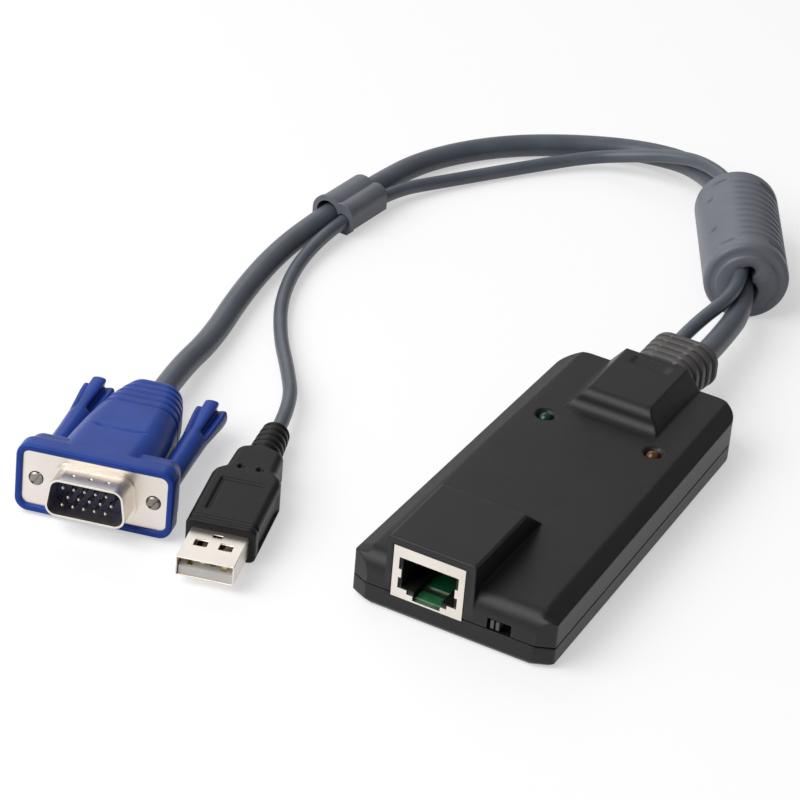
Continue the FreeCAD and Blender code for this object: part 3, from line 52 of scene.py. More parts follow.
back = Vector((math.sin(AZIMUTH) * math.cos(ELEVATION), -math.cos(AZIMUTH) * math.cos(ELEVATION),
               math.sin(ELEVATION)))
camera_data = bpy.data.cameras.new("camera")
camera_data.lens = LENS
camera_data.sensor_width = SENSOR
camera = bpy.data.objects.new("camera", camera_data)
bpy.context.scene.collection.objects.link(camera)
camera.rotation_mode = "QUATERNION"
camera.location = TARGET + back * DISTANCE
camera.rotation_quaternion = back.to_track_quat("Z", "Y") @ Quaternion((0, 0, 1), ROLL)
bpy.context.scene.camera = camera

# Floor and light
# A pale floor under soft light: a soft box high in front on the left, a weaker one behind the cables,
# and a surround that is dim on the right. The floor glows a little where it is seen, so that it reads
# as white and still takes the object's shadow.
FLOOR_SIZE = 6.0
FLOOR_COLOUR = (0.55, 0.55, 0.56, 1.0)
FLOOR_GLOW = 0.50
SURROUND_COLOUR = (1.0, 1.0, 1.0, 1.0)
SURROUND_LEFT_X = -0.8
SURROUND_LEFT = 0.55
SURROUND_RIGHT_X = 0.5
SURROUND_RIGHT = 0.15
KEY_SIZE = 1.2
KEY_POWER = 17.0
KEY_PLACE = Vector((-0.62, -0.70, 1.02))
REAR_SIZE = 0.8
REAR_POWER = 2.0
REAR_PLACE = Vector((-0.85, 0.85, 0.80))


def wire(tree, source, target):
    """Joins an output socket to an input socket."""
    tree.links.new(source, target)


def seen_directly(tree):
    """Output that is one where the ray comes from the camera, a reflection or clear plastic."""
    path = tree.nodes.new("ShaderNodeLightPath")
    first = tree.nodes.new("ShaderNodeMath")
    first.operation = "MAXIMUM"
    both = tree.nodes.new("ShaderNodeMath")
    both.operation = "MAXIMUM"
    wire(tree, path.outputs["Is Camera Ray"], first.inputs[0])
    wire(tree, path.outputs["Is Glossy Ray"], first.inputs[1])
    wire(tree, first.outputs[0], both.inputs[0])
    wire(tree, path.outputs["Is Transmission Ray"], both.inputs[1])
    return both.outputs[0]


def soft_box(name, place, size, power):
    """Square area light at a place, facing the middle of the view."""
    data = bpy.data.lights.new(name, "AREA")
    data.shape = "SQUARE"
    data.size = size
    data.energy = power
    light = bpy.data.objects.new(name, data)
    bpy.context.scene.collection.objects.link(light)
    light.location = place
    light.rotation_mode = "QUATERNION"
    light.rotation_quaternion = (place - TARGET).to_track_quat("Z", "Y")


floor_mesh = bpy.data.meshes.new("floor")
half_floor = FLOOR_SIZE / 2
floor_mesh.from_pydata([(-half_floor, -half_floor, 0), (half_floor, -half_floor, 0),
                        (half_floor, half_floor, 0), (-half_floor, half_floor, 0)], [], [(0, 1, 2, 3)])
floor = bpy.data.objects.new("floor", floor_mesh)
bpy.context.scene.collection.objects.link(floor)
floor_material = bpy.data.materials.new("floor_paper")
floor_material.use_nodes = True
floor_tree = floor_material.node_tree
floor_tree.nodes.clear()
floor_out = floor_tree.nodes.new("ShaderNodeOutputMaterial")
floor_sum = floor_tree.nodes.new("ShaderNodeAddShader")
floor_paper = floor_tree.nodes.new("ShaderNodeBsdfDiffuse")
floor_paper.inputs["Color"].default_value = FLOOR_COLOUR
floor_glow = floor_tree.nodes.new("ShaderNodeEmission")
floor_level = floor_tree.nodes.new("ShaderNodeMath")
floor_level.operation = "MULTIPLY"
floor_level.inputs[1].default_value = FLOOR_GLOW
wire(floor_tree, seen_directly(floor_tree), floor_level.inputs[0])
wire(floor_tree, floor_level.outputs[0], floor_glow.inputs["Strength"])
wire(floor_tree, floor_paper.outputs[0], floor_sum.inputs[0])
wire(floor_tree, floor_glow.outputs[0], floor_sum.inputs[1])
wire(floor_tree, floor_sum.outputs[0], floor_out.inputs["Surface"])
floor_mesh.materials.append(floor_material)

world = bpy.data.worlds.new("surround")
world.use_nodes = True
bpy.context.scene.world = world
world_tree = world.node_tree
world_tree.nodes.clear()
world_out = world_tree.nodes.new("ShaderNodeOutputWorld")
world_background = world_tree.nodes.new("ShaderNodeBackground")
world_background.inputs["Color"].default_value = SURROUND_COLOUR
world_way = world_tree.nodes.new("ShaderNodeTexCoord")
world_parts = world_tree.nodes.new("ShaderNodeSeparateXYZ")
world_side = world_tree.nodes.new("ShaderNodeMapRange")
world_side.inputs["From Min"].default_value = SURROUND_LEFT_X
world_side.inputs["From Max"].default_value = SURROUND_RIGHT_X
world_side.inputs["To Min"].default_value = SURROUND_LEFT
world_side.inputs["To Max"].default_value = SURROUND_RIGHT
wire(world_tree, world_way.outputs["Generated"], world_parts.inputs[0])
wire(world_tree, world_parts.outputs["X"], world_side.inputs["Value"])
wire(world_tree, world_side.outputs["Result"], world_background.inputs["Strength"])
wire(world_tree, world_background.outputs[0], world_out.inputs["Surface"])

soft_box("key_box", KEY_PLACE, KEY_SIZE, KEY_POWER)
soft_box("rear_box", REAR_PLACE, REAR_SIZE, REAR_POWER)
bpy.context.scene.view_settings.view_transform = "Standard"

# Cables
# Two round cables with extruded vinyl jackets, slate grey with a low sheen. They leave the strain
# relief side by side, pass through the ferrite one above the other, lie down on the table, are held
# side by side by a clip and end in the two plugs. Routes are in millimetres.
MM = 0.001
VIDEO_CABLE_D = 0.0054
USB_CABLE_D = 0.0032
CABLE_STEPS = 14
CABLE_ROUND_STEPS = 8
VIDEO_ROUTE = [(3.7, 61.34, 9.29), (3.7, 71.5, 8.8), (1.563, 93.133, 7.55), (-19.986, 133.321, 7.55),
               (-35.3, 149.2, 5.2), (-50.3, 152.2, 3.3), (-66.8, 145.6, 2.8), (-82.6, 133.3, 2.8),
               (-93.7, 115.9, 2.9), (-96.761, 97.326, 3.3), (-99.439, 73.074, 3.3), (-100.1, 56.0, 2.9),
               (-97.5, 36.3, 2.8), (-92.8, 16.4, 3.0), (-90.773, -1.264, 4.583), (-87.1533, -15.7827, 5.6297)]
USB_ROUTE = [(-3.1, 61.33, 9.3), (-3.5, 71.5, 10.0), (1.09, 94.015, 12.45), (-19.986, 133.321, 12.45),
             (-32.6, 143.0, 10.6), (-42.6, 144.7, 8.2), (-50.6, 144.4, 5.6), (-61.5, 141.5, 3.0),
             (-72.7, 129.3, 1.9), (-85.5, 111.1, 2.0), (-92.31, 96.634, 3.7), (-94.944, 72.779, 3.7),
             (-94.6, 57.0, 2.2), (-89.5, 40.7, 1.9), (-81.5, 27.0, 1.9), (-73.2, 16.0, 2.5),
             (-64.251, 2.424, 4.3), (-61.037, -9.655, 4.3)]
PATCH_SHARE = (0.35, 0.65)
PATCH_DETAIL = 3.0
GRAIN_DETAIL = 2.0
GLOSS_SWING = 0.06
LEAST_ROUGHNESS = 0.05
EDGE_SAMPLES = 6


def finish(name, colour, shade, roughness, grain, depth, metallic=0.0, patch=90.0, shine=0.5,
           edge=0.0):
    """Opaque finish: two close colours mixed in soft patches, fine grain in the relief and the gloss.
    Grain and patch are noise scales per metre. Depth is the relief's height and edge the radius that softens
    the light on sharp edges, both in metres."""
    material = bpy.data.materials.new(name)
    material.use_nodes = True
    tree = material.node_tree
    shader = tree.nodes["Principled BSDF"]
    shader.inputs["Metallic"].default_value = metallic
    shader.inputs["Specular IOR Level"].default_value = shine
    place = tree.nodes.new("ShaderNodeTexCoord")
    patches = tree.nodes.new("ShaderNodeTexNoise")
    patches.inputs["Scale"].default_value = patch
    patches.inputs["Detail"].default_value = PATCH_DETAIL
    colours = tree.nodes.new("ShaderNodeValToRGB")
    for stop, share, tone in zip(colours.color_ramp.elements, PATCH_SHARE, (shade, colour)):
        stop.position = share
        stop.color = (*tone, 1.0)
    grains = tree.nodes.new("ShaderNodeTexNoise")
    grains.inputs["Scale"].default_value = grain
    grains.inputs["Detail"].default_value = GRAIN_DETAIL
    gloss = tree.nodes.new("ShaderNodeMapRange")
    gloss.inputs["To Min"].default_value = max(LEAST_ROUGHNESS, roughness - GLOSS_SWING)
    gloss.inputs["To Max"].default_value = roughness + GLOSS_SWING
    relief = tree.nodes.new("ShaderNodeBump")
    relief.inputs["Strength"].default_value = 1.0
    relief.inputs["Distance"].default_value = depth
    for noise in (patches, grains):
        wire(tree, place.outputs["Object"], noise.inputs["Vector"])
    wire(tree, patches.outputs["Fac"], colours.inputs["Fac"])
    wire(tree, colours.outputs["Color"], shader.inputs["Base Color"])
    wire(tree, grains.outputs["Fac"], gloss.inputs["Value"])
    wire(tree, gloss.outputs["Result"], shader.inputs["Roughness"])
    wire(tree, grains.outputs["Fac"], relief.inputs["Height"])
    wire(tree, relief.outputs["Normal"], shader.inputs["Normal"])
    if edge:
        soft_edge = tree.nodes.new("ShaderNodeBevel")
        soft_edge.samples = EDGE_SAMPLES
        soft_edge.inputs["Radius"].default_value = edge
        wire(tree, soft_edge.outputs["Normal"], relief.inputs["Normal"])
    return material


def dress(material, *names):
    """Gives CAD nodes a material."""
    for name in names:
        if not nodes[name].material_slots:
            nodes[name].data.materials.append(material)
        for slot in nodes[name].material_slots:
            slot.material = material


def cable(name, route, diameter, node):
    """Round cable on a smooth curve with the route's points as its control points."""
    curve = bpy.data.curves.new(name, "CURVE")
    curve.dimensions = "3D"
    line = curve.splines.new("NURBS")
    line.points.add(len(route) - 1)
    for point, (x, y, z) in zip(line.points, route):
        point.co = (x * MM, y * MM, z * MM, 1.0)
    line.order_u = 3
    line.use_endpoint_u = True
    line.resolution_u = CABLE_STEPS
    curve.bevel_depth = diameter / 2
    curve.bevel_resolution = CABLE_ROUND_STEPS
    curve.use_fill_caps = True
    piece = bpy.data.objects.new(name, curve)
    bpy.context.scene.collection.objects.link(piece)
    curve.materials.append(jacket)
    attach(piece, "adapter")
    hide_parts(node)


jacket = finish("cable_jacket", (0.105, 0.118, 0.142), (0.086, 0.098, 0.122), roughness=0.38,
                grain=2600.0, depth=0.00002, patch=140.0)
dress(jacket, "video_cable", "usb_cable", "video_wires", "usb_wires")

# Strain relief
# Soft vinyl boot moulded over both cables, with ribs that bend and two ties that join the ribs on
# top. Its inner flange is trapped between the two halves of the housing.
BOOT_START = 44.9
BOOT_ROOT = 46.5
BOOT_LENGTH = 14.7
BOOT_STEP = 0.12
BOOT_Z = 9.3
BOOT_HALF = (6.7, 7.9)
BOOT_RISE = (5.7, 5.4)
BOOT_CORNER = 0.8
BOOT_SHIFT = 0.9
BOOT_PITCH = 2.45
BOOT_GROOVES = 5
BOOT_GROOVE_LAG = 0.475
BOOT_GROOVE_HALF = 0.5
BOOT_GROOVE_DEPTH = 1.1
BOOT_TIE_X = 3.2
BOOT_TIE_HALF = 0.6
BOOT_TIE_FILL = 0.7
BOOT_TIE_LOW = 1.0
BOOT_END_R = 0.7
QUARTER = np.linspace(0.0, math.pi / 2, 7)


def round_frame(corner_steps, side_steps):
    """Points round a rectangle with round corners, as two unit arrays. The first says where between the
    corner centres a point stands, the second which way the corner radius carries it from there."""
    corners = np.array([(1.0, 1.0), (-1.0, 1.0), (-1.0, -1.0), (1.0, -1.0)])
    share = np.linspace(0.0, 1.0, side_steps + 2)[1:-1, None]
    stands, leans = [], []
    for k in range(4):
        angle = np.linspace(0.0, math.pi / 2, corner_steps) + k * math.pi / 2
        lean = np.stack([np.cos(angle), np.sin(angle)], axis=1)
        stands.append(np.repeat(corners[k:k + 1], corner_steps, axis=0))
        leans.append(lean)
        stands.append(corners[k] + (corners[(k + 1) % 4] - corners[k]) * share)
        leans.append(np.repeat(lean[-1:], side_steps, axis=0))
    return np.vstack(stands), np.vstack(leans)


def round_rings(along, half, rise, corner, unit_arrays):
    """Rings across y. Each point is the corner centre's place times its share of the way, plus the corner
    radius times its direction; half, rise and corner change along the length."""
    stands, leans = unit_arrays
    half, rise, corner = (np.broadcast_to(value, along.shape)[:, None] for value in (half, rise, corner))
    x = (half - corner) * stands[:, 0] + corner * leans[:, 0]
    z = (rise - corner) * stands[:, 1] + corner * leans[:, 1]
    return np.stack([x, np.broadcast_to(along[:, None], x.shape), z], axis=-1)


def round_ends(straight, end, end_radius, start=None, start_radius=0.0):
    """Places along a piece, and how far its section draws in at each. At the end a quarter circle follows the
    straight places: at angle a it stands the radius times (1 - sine a) short of the end, and draws in by the
    radius times (1 - cosine a). A start is the same circle the other way round."""
    along = [straight, end - end_radius * (1 - np.sin(QUARTER))]
    draw = [np.zeros(len(straight)), end_radius * (1 - np.cos(QUARTER))]
    if start is not None:
        along.insert(0, start + start_radius * (1 - np.cos(QUARTER)))
        draw.insert(0, start_radius * (1 - np.sin(QUARTER)))
    return np.concatenate(along), np.concatenate(draw)


def dip(value, centre, half):
    """One at the centre, falling to nothing past a flat bottom: e to the minus fourth power of the distance
    from the centre over the half width."""
    return np.exp(-((value - centre) / half) ** 4)


def skin(name, rings, material, node=None, closed=False, body="adapter"):
    """Closed surface through rings of points in millimetres. Each quad joins two neighbours on a ring and
    their fellows on the next; the end rings close on their mean point, or on each other when closed. The
    faces turn over where the volume under them, the sum of each corner dotted with a cross product, is
    negative."""
    count, around = rings.shape[:2]
    points = rings.reshape(-1, 3)
    index = np.arange(count * around).reshape(count, around)
    if closed:
        index = np.vstack([index, index[:1]])
    quads = np.stack([index[:-1], np.roll(index[:-1], -1, axis=1), np.roll(index[1:], -1, axis=1),
                      index[1:]], axis=-1).reshape(-1, 4)
    corners = points[quads]
    volume = np.einsum("ij,ij->", corners[:, 0], np.cross(corners[:, 1], corners[:, 2])
                       + np.cross(corners[:, 2], corners[:, 3]))
    faces = quads.tolist()
    if not closed:
        points = np.vstack([points, rings[0].mean(axis=0), rings[-1].mean(axis=0)])
        first, last = index[0], index[-1]
        first_pole = np.full(around, count * around)
        faces += np.stack([np.roll(first, -1), first, first_pole], axis=-1).tolist()
        faces += np.stack([last, np.roll(last, -1), first_pole + 1], axis=-1).tolist()
    if volume < 0:
        faces = [face[::-1] for face in faces]
    mesh = bpy.data.meshes.new(name)
    mesh.from_pydata((points * MM).tolist(), [], faces)
    mesh.polygons.foreach_set("use_smooth", np.ones(len(mesh.polygons), dtype=bool))
    mesh.materials.append(material)
    mesh.update()
    piece = bpy.data.objects.new(name, mesh)
    bpy.context.scene.collection.objects.link(piece)
    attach(piece, body)
    if node:
        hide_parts(node)


def boot_rings():
    """Rings of the boot. Half width and half height run evenly from root to tip. A groove shrinks the ring by
    its depth times a dip along the length, and by less on top where a tie fills it."""
    end = BOOT_ROOT + BOOT_LENGTH
    along, draw = round_ends(np.arange(BOOT_START, end - BOOT_END_R, BOOT_STEP), end, BOOT_END_R)
    share = np.clip((along - BOOT_ROOT) / BOOT_LENGTH, 0.0, 1.0)
    half = BOOT_HALF[0] + (BOOT_HALF[1] - BOOT_HALF[0]) * share - draw
    rise = BOOT_RISE[0] + (BOOT_RISE[1] - BOOT_RISE[0]) * share - draw
    rings = round_rings(along, half, rise, rise * BOOT_CORNER, round_frame(corner_steps=14, side_steps=14))
    grooves = sum(dip(along, BOOT_ROOT + BOOT_PITCH * (i + 1) + BOOT_GROOVE_LAG, BOOT_GROOVE_HALF)
                  for i in range(BOOT_GROOVES))
    ties = sum(dip(rings[..., 0], x, BOOT_TIE_HALF) for x in (-BOOT_TIE_X, BOOT_TIE_X))
    open_share = 1 - BOOT_TIE_FILL * (rings[..., 2] > BOOT_TIE_LOW) * ties
    shrink = grooves[:, None] * open_share * BOOT_GROOVE_DEPTH
    rings[..., 0] *= 1 - shrink / half[:, None]
    rings[..., 2] *= 1 - shrink / rise[:, None]
    rings[..., 0] += BOOT_SHIFT * share[:, None] ** 2
    rings[..., 2] += BOOT_Z
    return rings


boot_rubber = finish("boot_rubber", (0.094, 0.089, 0.087), (0.076, 0.072, 0.070), roughness=0.45,
                     grain=3500.0, depth=0.00003)
skin("strain_relief_boot", boot_rings(), boot_rubber, "strain_relief")

# Ferrite filter
# A sintered ferrite core moulded into a slate grey vinyl sleeve, with fine ribs on one side and short
# slots near both ends, left by the mould's locating pins. Both cables pass through its common hole.
FERRITE_PLACE = (-0.8, 97.54, 9.8)
FERRITE_TURN = 28.2
FERRITE_LENGTH = 36.6
FERRITE_STEP = 0.15
FERRITE_ROUND_STEPS = 240
FERRITE_EDGE_STEPS = 8
FERRITE_R = 9.75
FERRITE_EDGE_R = 1.3
FERRITE_DISC_R = 7.0
FERRITE_DISC_T = 0.7
FERRITE_DISC_FLARE = 0.15
FERRITE_LIP_R = 0.25
FERRITE_RIBS = 10
FERRITE_PITCH = 2.65
FERRITE_RIB_HALF = 0.55
FERRITE_RIB_DEPTH = 0.3
FERRITE_RIB_ANGLES = (-8.0, 128.0)
FERRITE_RIB_FADES = (4.0, 1.2)
FERRITE_HOLES = ((-2.2, 2.85), (2.7, 1.75))
FERRITE_WAIST = 1.3
TINY = 1e-6
SLOT_DEPTH = 0.8
SLOT_HALF = 0.62
SLOT_SWEEP = 17.0
SLOT_ANGLES = (-33.0, 46.0)
SLOT_INSET = 4.6
NOTCH_PLACES = (12.9, 26.4)
NOTCH_ANGLE = -52.0
NOTCH_HALF = 0.5
NOTCH_SWEEP = 6.0


def lay_down(points, place, turn, pitch=0.0):
    """Points from a piece's own frame into the object's: pitched nose up about x, turned about z, moved. The
    rows of the matrix are the piece's own axes, as the object's frame sees them."""
    sine, cosine = math.sin(math.radians(turn)), math.cos(math.radians(turn))
    dive, level = math.sin(math.radians(pitch)), math.cos(math.radians(pitch))
    axes = np.array([(cosine, sine, 0.0), (-sine * level, cosine * level, -dive),
                     (-sine * dive, cosine * dive, level)])
    return points @ axes + np.array(place)


def step_up(value, place, soft):
    """Soft step from nothing to one: one over (1 + e to the minus x), where x is the distance past the place
    over the softness."""
    return 1 / (1 + np.exp(-(value - place) / soft))


def keyhole(angle):
    """Distance from the axis to the edge of the two cables' common hole: the further crossing of the ray
    with either circle, or with the straight waist between them."""
    across, up = np.sin(angle), np.cos(angle)
    reach = np.zeros_like(angle)
    for height, radius in FERRITE_HOLES:
        inside = radius ** 2 - (height * across) ** 2
        crossing = height * up + np.sqrt(np.maximum(inside, 0.0))
        reach = np.maximum(reach, np.where(inside > 0, crossing, 0.0))
    side = FERRITE_WAIST / np.maximum(np.abs(across), TINY)
    top = FERRITE_HOLES[1][0] / np.maximum(up, TINY)
    return np.maximum(reach, np.where(up > 0, np.minimum(side, top), 0.0))


def sleeve_rings():
    """Rings of the sleeve. A profile of radius over length goes in at one mouth, out over the disc and the
    round edge, along the body and back the same way. Ribs, slots and notches take away their depth times
    a dip along the body times a dip, or a soft step, round it."""
    angle = np.linspace(0.0, 2 * math.pi, FERRITE_ROUND_STEPS, endpoint=False)
    edge = np.linspace(0.0, math.pi / 2, FERRITE_EDGE_STEPS)
    end_y = np.concatenate([[FERRITE_LIP_R, 0.0, 0.0, FERRITE_LIP_R, FERRITE_DISC_T],
                            FERRITE_DISC_T + FERRITE_EDGE_R * (1 - np.cos(edge))])
    end_r = np.concatenate([[0.0, FERRITE_LIP_R, FERRITE_DISC_R - FERRITE_LIP_R, FERRITE_DISC_R,
                             FERRITE_DISC_R + FERRITE_DISC_FLARE],
                            FERRITE_R - FERRITE_EDGE_R * (1 - np.sin(edge))])
    body_y = np.arange(end_y[-1] + FERRITE_STEP, FERRITE_LENGTH - end_y[-1], FERRITE_STEP)
    along = np.concatenate([end_y, body_y, FERRITE_LENGTH - end_y[::-1]])
    profile = np.concatenate([end_r, np.full(len(body_y), FERRITE_R), end_r[::-1]])
    radius = np.broadcast_to(profile[:, None], (len(along), len(angle))).copy()
    mouth_rows = [0, 1, -2, -1]
    radius[mouth_rows] += keyhole(angle)
    first_rib = (FERRITE_LENGTH - (FERRITE_RIBS - 1) * FERRITE_PITCH) / 2
    ribs = sum(dip(along, first_rib + FERRITE_PITCH * i, FERRITE_RIB_HALF) for i in range(FERRITE_RIBS))
    degrees = (np.degrees(angle) + 180) % 360 - 180
    ribbed_side = (step_up(degrees, FERRITE_RIB_ANGLES[0], FERRITE_RIB_FADES[0])
                   * step_up(-degrees, -FERRITE_RIB_ANGLES[1], FERRITE_RIB_FADES[1]))
    slots = sum(dip(along, y, SLOT_HALF)[:, None] * dip(degrees, place, SLOT_SWEEP)
                for y in (SLOT_INSET, FERRITE_LENGTH - SLOT_INSET) for place in SLOT_ANGLES)
    notches = sum(dip(along, y, NOTCH_HALF)[:, None] * dip(degrees, NOTCH_ANGLE, NOTCH_SWEEP)
                  for y in NOTCH_PLACES)
    sunk = np.maximum(FERRITE_RIB_DEPTH * ribs[:, None] * ribbed_side,
                      SLOT_DEPTH * np.maximum(slots, notches))
    body_rows = slice(len(end_y), len(end_y) + len(body_y))
    radius[body_rows] -= sunk[body_rows]
    return np.stack([radius * np.sin(angle), np.broadcast_to(along[:, None], radius.shape),
                     radius * np.cos(angle)], axis=-1)


ferrite_grain = finish("ferrite_grain", (0.03, 0.03, 0.03), (0.02, 0.02, 0.02), roughness=0.7,
                       grain=5000.0, depth=0.00005)
sleeve_vinyl = finish("sleeve_vinyl", (0.150, 0.157, 0.187), (0.130, 0.137, 0.165), roughness=0.45,
                      grain=3500.0, depth=0.00003)
dress(ferrite_grain, "ferrite_core")
skin("ferrite_sleeve_skin", lay_down(sleeve_rings(), FERRITE_PLACE, FERRITE_TURN), sleeve_vinyl,
     "ferrite_sleeve", closed=True)

# Cable clip
# A small saddle of the sleeve's vinyl, with one arch over each cable. It is moulded over both cables
# and holds them side by side before they part for the two plugs.
CLIP_EDGE = 0.25
SHARP_ANGLE = 24.0
MERGE_DISTANCE = 0.000002
FLAT_ANGLE = 1.0
BEVEL_STEPS = 3
FLAT_WEIGHT = 80


def rounded(node, material, name, width=0.0, reshape=None):
    """Merged copy of a CAD node, its flat faces joined so that only real edges are left. Reshape may then
    change the mesh. A width in millimetres rounds the sharp edges, as a mould or a press leaves them;
    without one they stay sharp. Flat faces are shaded flat either way."""
    mesh = nodes[node].data.copy()
    mesh.name = name
    work = bmesh.new()
    work.from_mesh(mesh)
    bmesh.ops.remove_doubles(work, verts=work.verts, dist=MERGE_DISTANCE)
    bmesh.ops.dissolve_limit(work, angle_limit=math.radians(FLAT_ANGLE), verts=work.verts, edges=work.edges)
    work.to_mesh(mesh)
    work.free()
    if reshape:
        reshape(mesh)
    mesh.materials.clear()
    mesh.materials.append(material)
    mesh.polygons.foreach_set("use_smooth", np.ones(len(mesh.polygons), dtype=bool))
    mesh.polygons.foreach_set("material_index", np.zeros(len(mesh.polygons), dtype=np.int32))
    piece = bpy.data.objects.new(name, mesh)
    bpy.context.scene.collection.objects.link(piece)
    if width:
        bevel = piece.modifiers.new("edge_radius", "BEVEL")
        bevel.limit_method = "ANGLE"
        bevel.angle_limit = math.radians(SHARP_ANGLE)
        bevel.width = width * MM
        bevel.segments = BEVEL_STEPS
        bevel.use_clamp_overlap = True
        bevel.miter_outer = "MITER_ARC"
    else:
        mesh.set_sharp_from_angle(angle=math.radians(SHARP_ANGLE))
    level = piece.modifiers.new("flat_faces_stay_flat", "WEIGHTED_NORMAL")
    level.weight = FLAT_WEIGHT
    level.keep_sharp = True
    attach(piece, "adapter")
    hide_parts(node)


rounded("cable_clip", sleeve_vinyl, "cable_saddle", width=CLIP_EDGE)

# Circuit board and its parts
# A glass-epoxy board with its chips, crystal, capacitors and lamp leads soldered on, and two moulded
# white headers for the cables' wires. The pillars of the two shells hold it between them.
# Painted shade: the board's green is darkened almost to black, so that the board reads black where it shows
# through the switch window.
board_painted_shade = finish("board_shaded", (0.004, 0.016, 0.009), (0.003, 0.010, 0.006), roughness=0.5,
                    grain=1200.0, depth=0.00001, patch=900.0)
insulator_black = finish("insulator_black", (0.010, 0.010, 0.010), (0.007, 0.007, 0.007), roughness=0.45,
                         grain=4000.0, depth=0.00002, shine=0.3)
nickel = finish("nickel_plate", (0.88, 0.82, 0.75), (0.81, 0.75, 0.68), roughness=0.34, grain=2200.0,
                depth=0.000002, metallic=1.0)
tinned = finish("tinned_steel", (0.6, 0.59, 0.56), (0.5, 0.49, 0.46), roughness=0.3, grain=3000.0,
                depth=0.000003, metallic=1.0)
white_insulator = finish("white_insulator", (0.72, 0.71, 0.67), (0.65, 0.64, 0.60), roughness=0.45,
                         grain=3000.0, depth=0.00001)
dress(board_painted_shade, "circuit_board")
dress(insulator_black, "main_chip", "converter_chip")
dress(nickel, "crystal")
dress(tinned, "lamp_leads", "capacitors")
dress(white_insulator, "video_header", "usb_header")

# Network jack
# A folded nickel-plated can round a black moulded block, with a small green board along its latch
# channel and eight gold-flashed spring contacts. It is soldered to the front edge of the board.
STRIP_X = -5.16
STRIP_Y = (-45.7, -42.3)
STRIP_Z = 5.03
STRIP_HALF = 2.95
STRIP_HALF_T = 0.12
STRIP_CORNER = 0.08
board_green = finish("board_green", (0.01, 0.16, 0.06), (0.006, 0.11, 0.04), roughness=0.3,
                     grain=1200.0, depth=0.00001, patch=900.0)
strip_green = finish("strip_green", (0.03, 0.17, 0.065), (0.02, 0.12, 0.045), roughness=0.4,
                     grain=1200.0, depth=0.00001, patch=900.0)
gold = finish("gold_flash", (0.83, 0.66, 0.33), (0.75, 0.58, 0.28), roughness=0.25, grain=3000.0,
              depth=0.000002, metallic=1.0)
dress(nickel, "network_jack_shield")
dress(insulator_black, "network_jack_insert")
dress(board_green, "network_jack_board")
dress(gold, "network_jack_contacts")
strip = round_rings(np.linspace(*STRIP_Y, 6), STRIP_HALF, STRIP_HALF_T, STRIP_CORNER,
                    round_frame(corner_steps=5, side_steps=6))
skin("jack_front_strip", strip + np.array([STRIP_X, 0.0, STRIP_Z]), strip_green)

# Mode switch
# A slide switch with a black moulded body, soldered beside the jack. Its grey actuator stands in the
# window of the housing and slides sideways there.
switch_grey = finish("switch_grey", (0.10, 0.10, 0.10), (0.08, 0.08, 0.08), roughness=0.5,
                     grain=4000.0, depth=0.00002)
dress(insulator_black, "mode_switch_body")
dress(switch_grey, "mode_switch_slider")

# Lamps
# Two round lamps of coloured resin, green for the link and amber for power. They stand on their leads
# and look out of dished holes in the plate.
green_lens = finish("green_lens", (0.005, 0.046, 0.028), (0.003, 0.032, 0.020), roughness=0.15,
                    grain=2000.0, depth=0.000002)
amber_lens = finish("amber_lens", (0.13, 0.045, 0.009), (0.09, 0.032, 0.008), roughness=0.15,
                    grain=2000.0, depth=0.000002)
dress(green_lens, "link_lamp")
dress(amber_lens, "power_lamp")

# Housing
# Two injection-moulded ABS shells with a fine spark texture, satin black, screwed together from below.
# The upper one carries the bevels, the nose and the raised blocks over the jack and the cable exit.
NOSE_FRONT = -46.5
NOSE_TOP = 12.1
NOSE_R = 4.2
NOSE_MARGIN = 0.05
NOSE_ROWS = np.linspace(0.1, 1.0, 15)
NOSE_ROW_POWER = 1.5
NOSE_COLUMNS = (-19.0, -18.0, -15.5, -14.7, 5.1, 5.8, 7.0, 9.0, 11.0, 13.0, 15.0, 16.5, 17.5, 18.5)


def soften_nose(mesh):
    """Lowers the front edge of the top onto a rounder nose. Rows and columns of points are cut in first. Each
    point above the arc, z = top - R + root of (R squared - distance squared), drops onto it, where the
    distance is how far in front of the arc's rear end the point lies."""
    work = bmesh.new()
    work.from_mesh(mesh)
    rows = [((0, (NOSE_FRONT + NOSE_R * share ** NOSE_ROW_POWER) * MM, 0), (0, 1, 0)) for share in NOSE_ROWS]
    columns = [((x * MM, 0, 0), (1, 0, 0)) for x in NOSE_COLUMNS]
    ceiling = NOSE_TOP + NOSE_MARGIN
    for place, normal in rows + columns:
        low = [face for face in work.faces if max(vertex.co.z for vertex in face.verts) < ceiling * MM]
        edges = dict.fromkeys(edge for face in low for edge in face.edges)
        corners = dict.fromkeys(vertex for face in low for vertex in face.verts)
        bmesh.ops.bisect_plane(work, geom=low + list(edges) + list(corners), plane_co=place, plane_no=normal)
    work.to_mesh(mesh)
    work.free()
    flat = np.empty(len(mesh.vertices) * 3, dtype=np.float32)
    mesh.vertices.foreach_get("co", flat)
    places = flat.reshape(-1, 3).astype(float) / MM
    distance = np.clip(NOSE_FRONT + NOSE_R - places[:, 1], 0.0, NOSE_R)
    arc = NOSE_TOP - NOSE_R + np.sqrt(NOSE_R ** 2 - distance ** 2)
    low = (places[:, 2] < ceiling) & (places[:, 2] > arc)
    flat.reshape(-1, 3)[low, 2] = arc[low] * MM
    mesh.vertices.foreach_set("co", flat)
    mesh.update()


housing_black = finish("housing_black", (0.0095, 0.0095, 0.0105), (0.0075, 0.0075, 0.0085), roughness=0.40,
                       grain=6500.0, depth=0.00004, shine=0.38, edge=0.0006)
screw_black = finish("screw_black", (0.03, 0.03, 0.03), (0.02, 0.02, 0.02), roughness=0.35, grain=5000.0,
                     depth=0.00001, metallic=0.8)
rounded("top_cover", housing_black, "housing_top", reshape=soften_nose)
rounded("bottom_cover", housing_black, "housing_bottom")
dress(screw_black, "cover_screws")

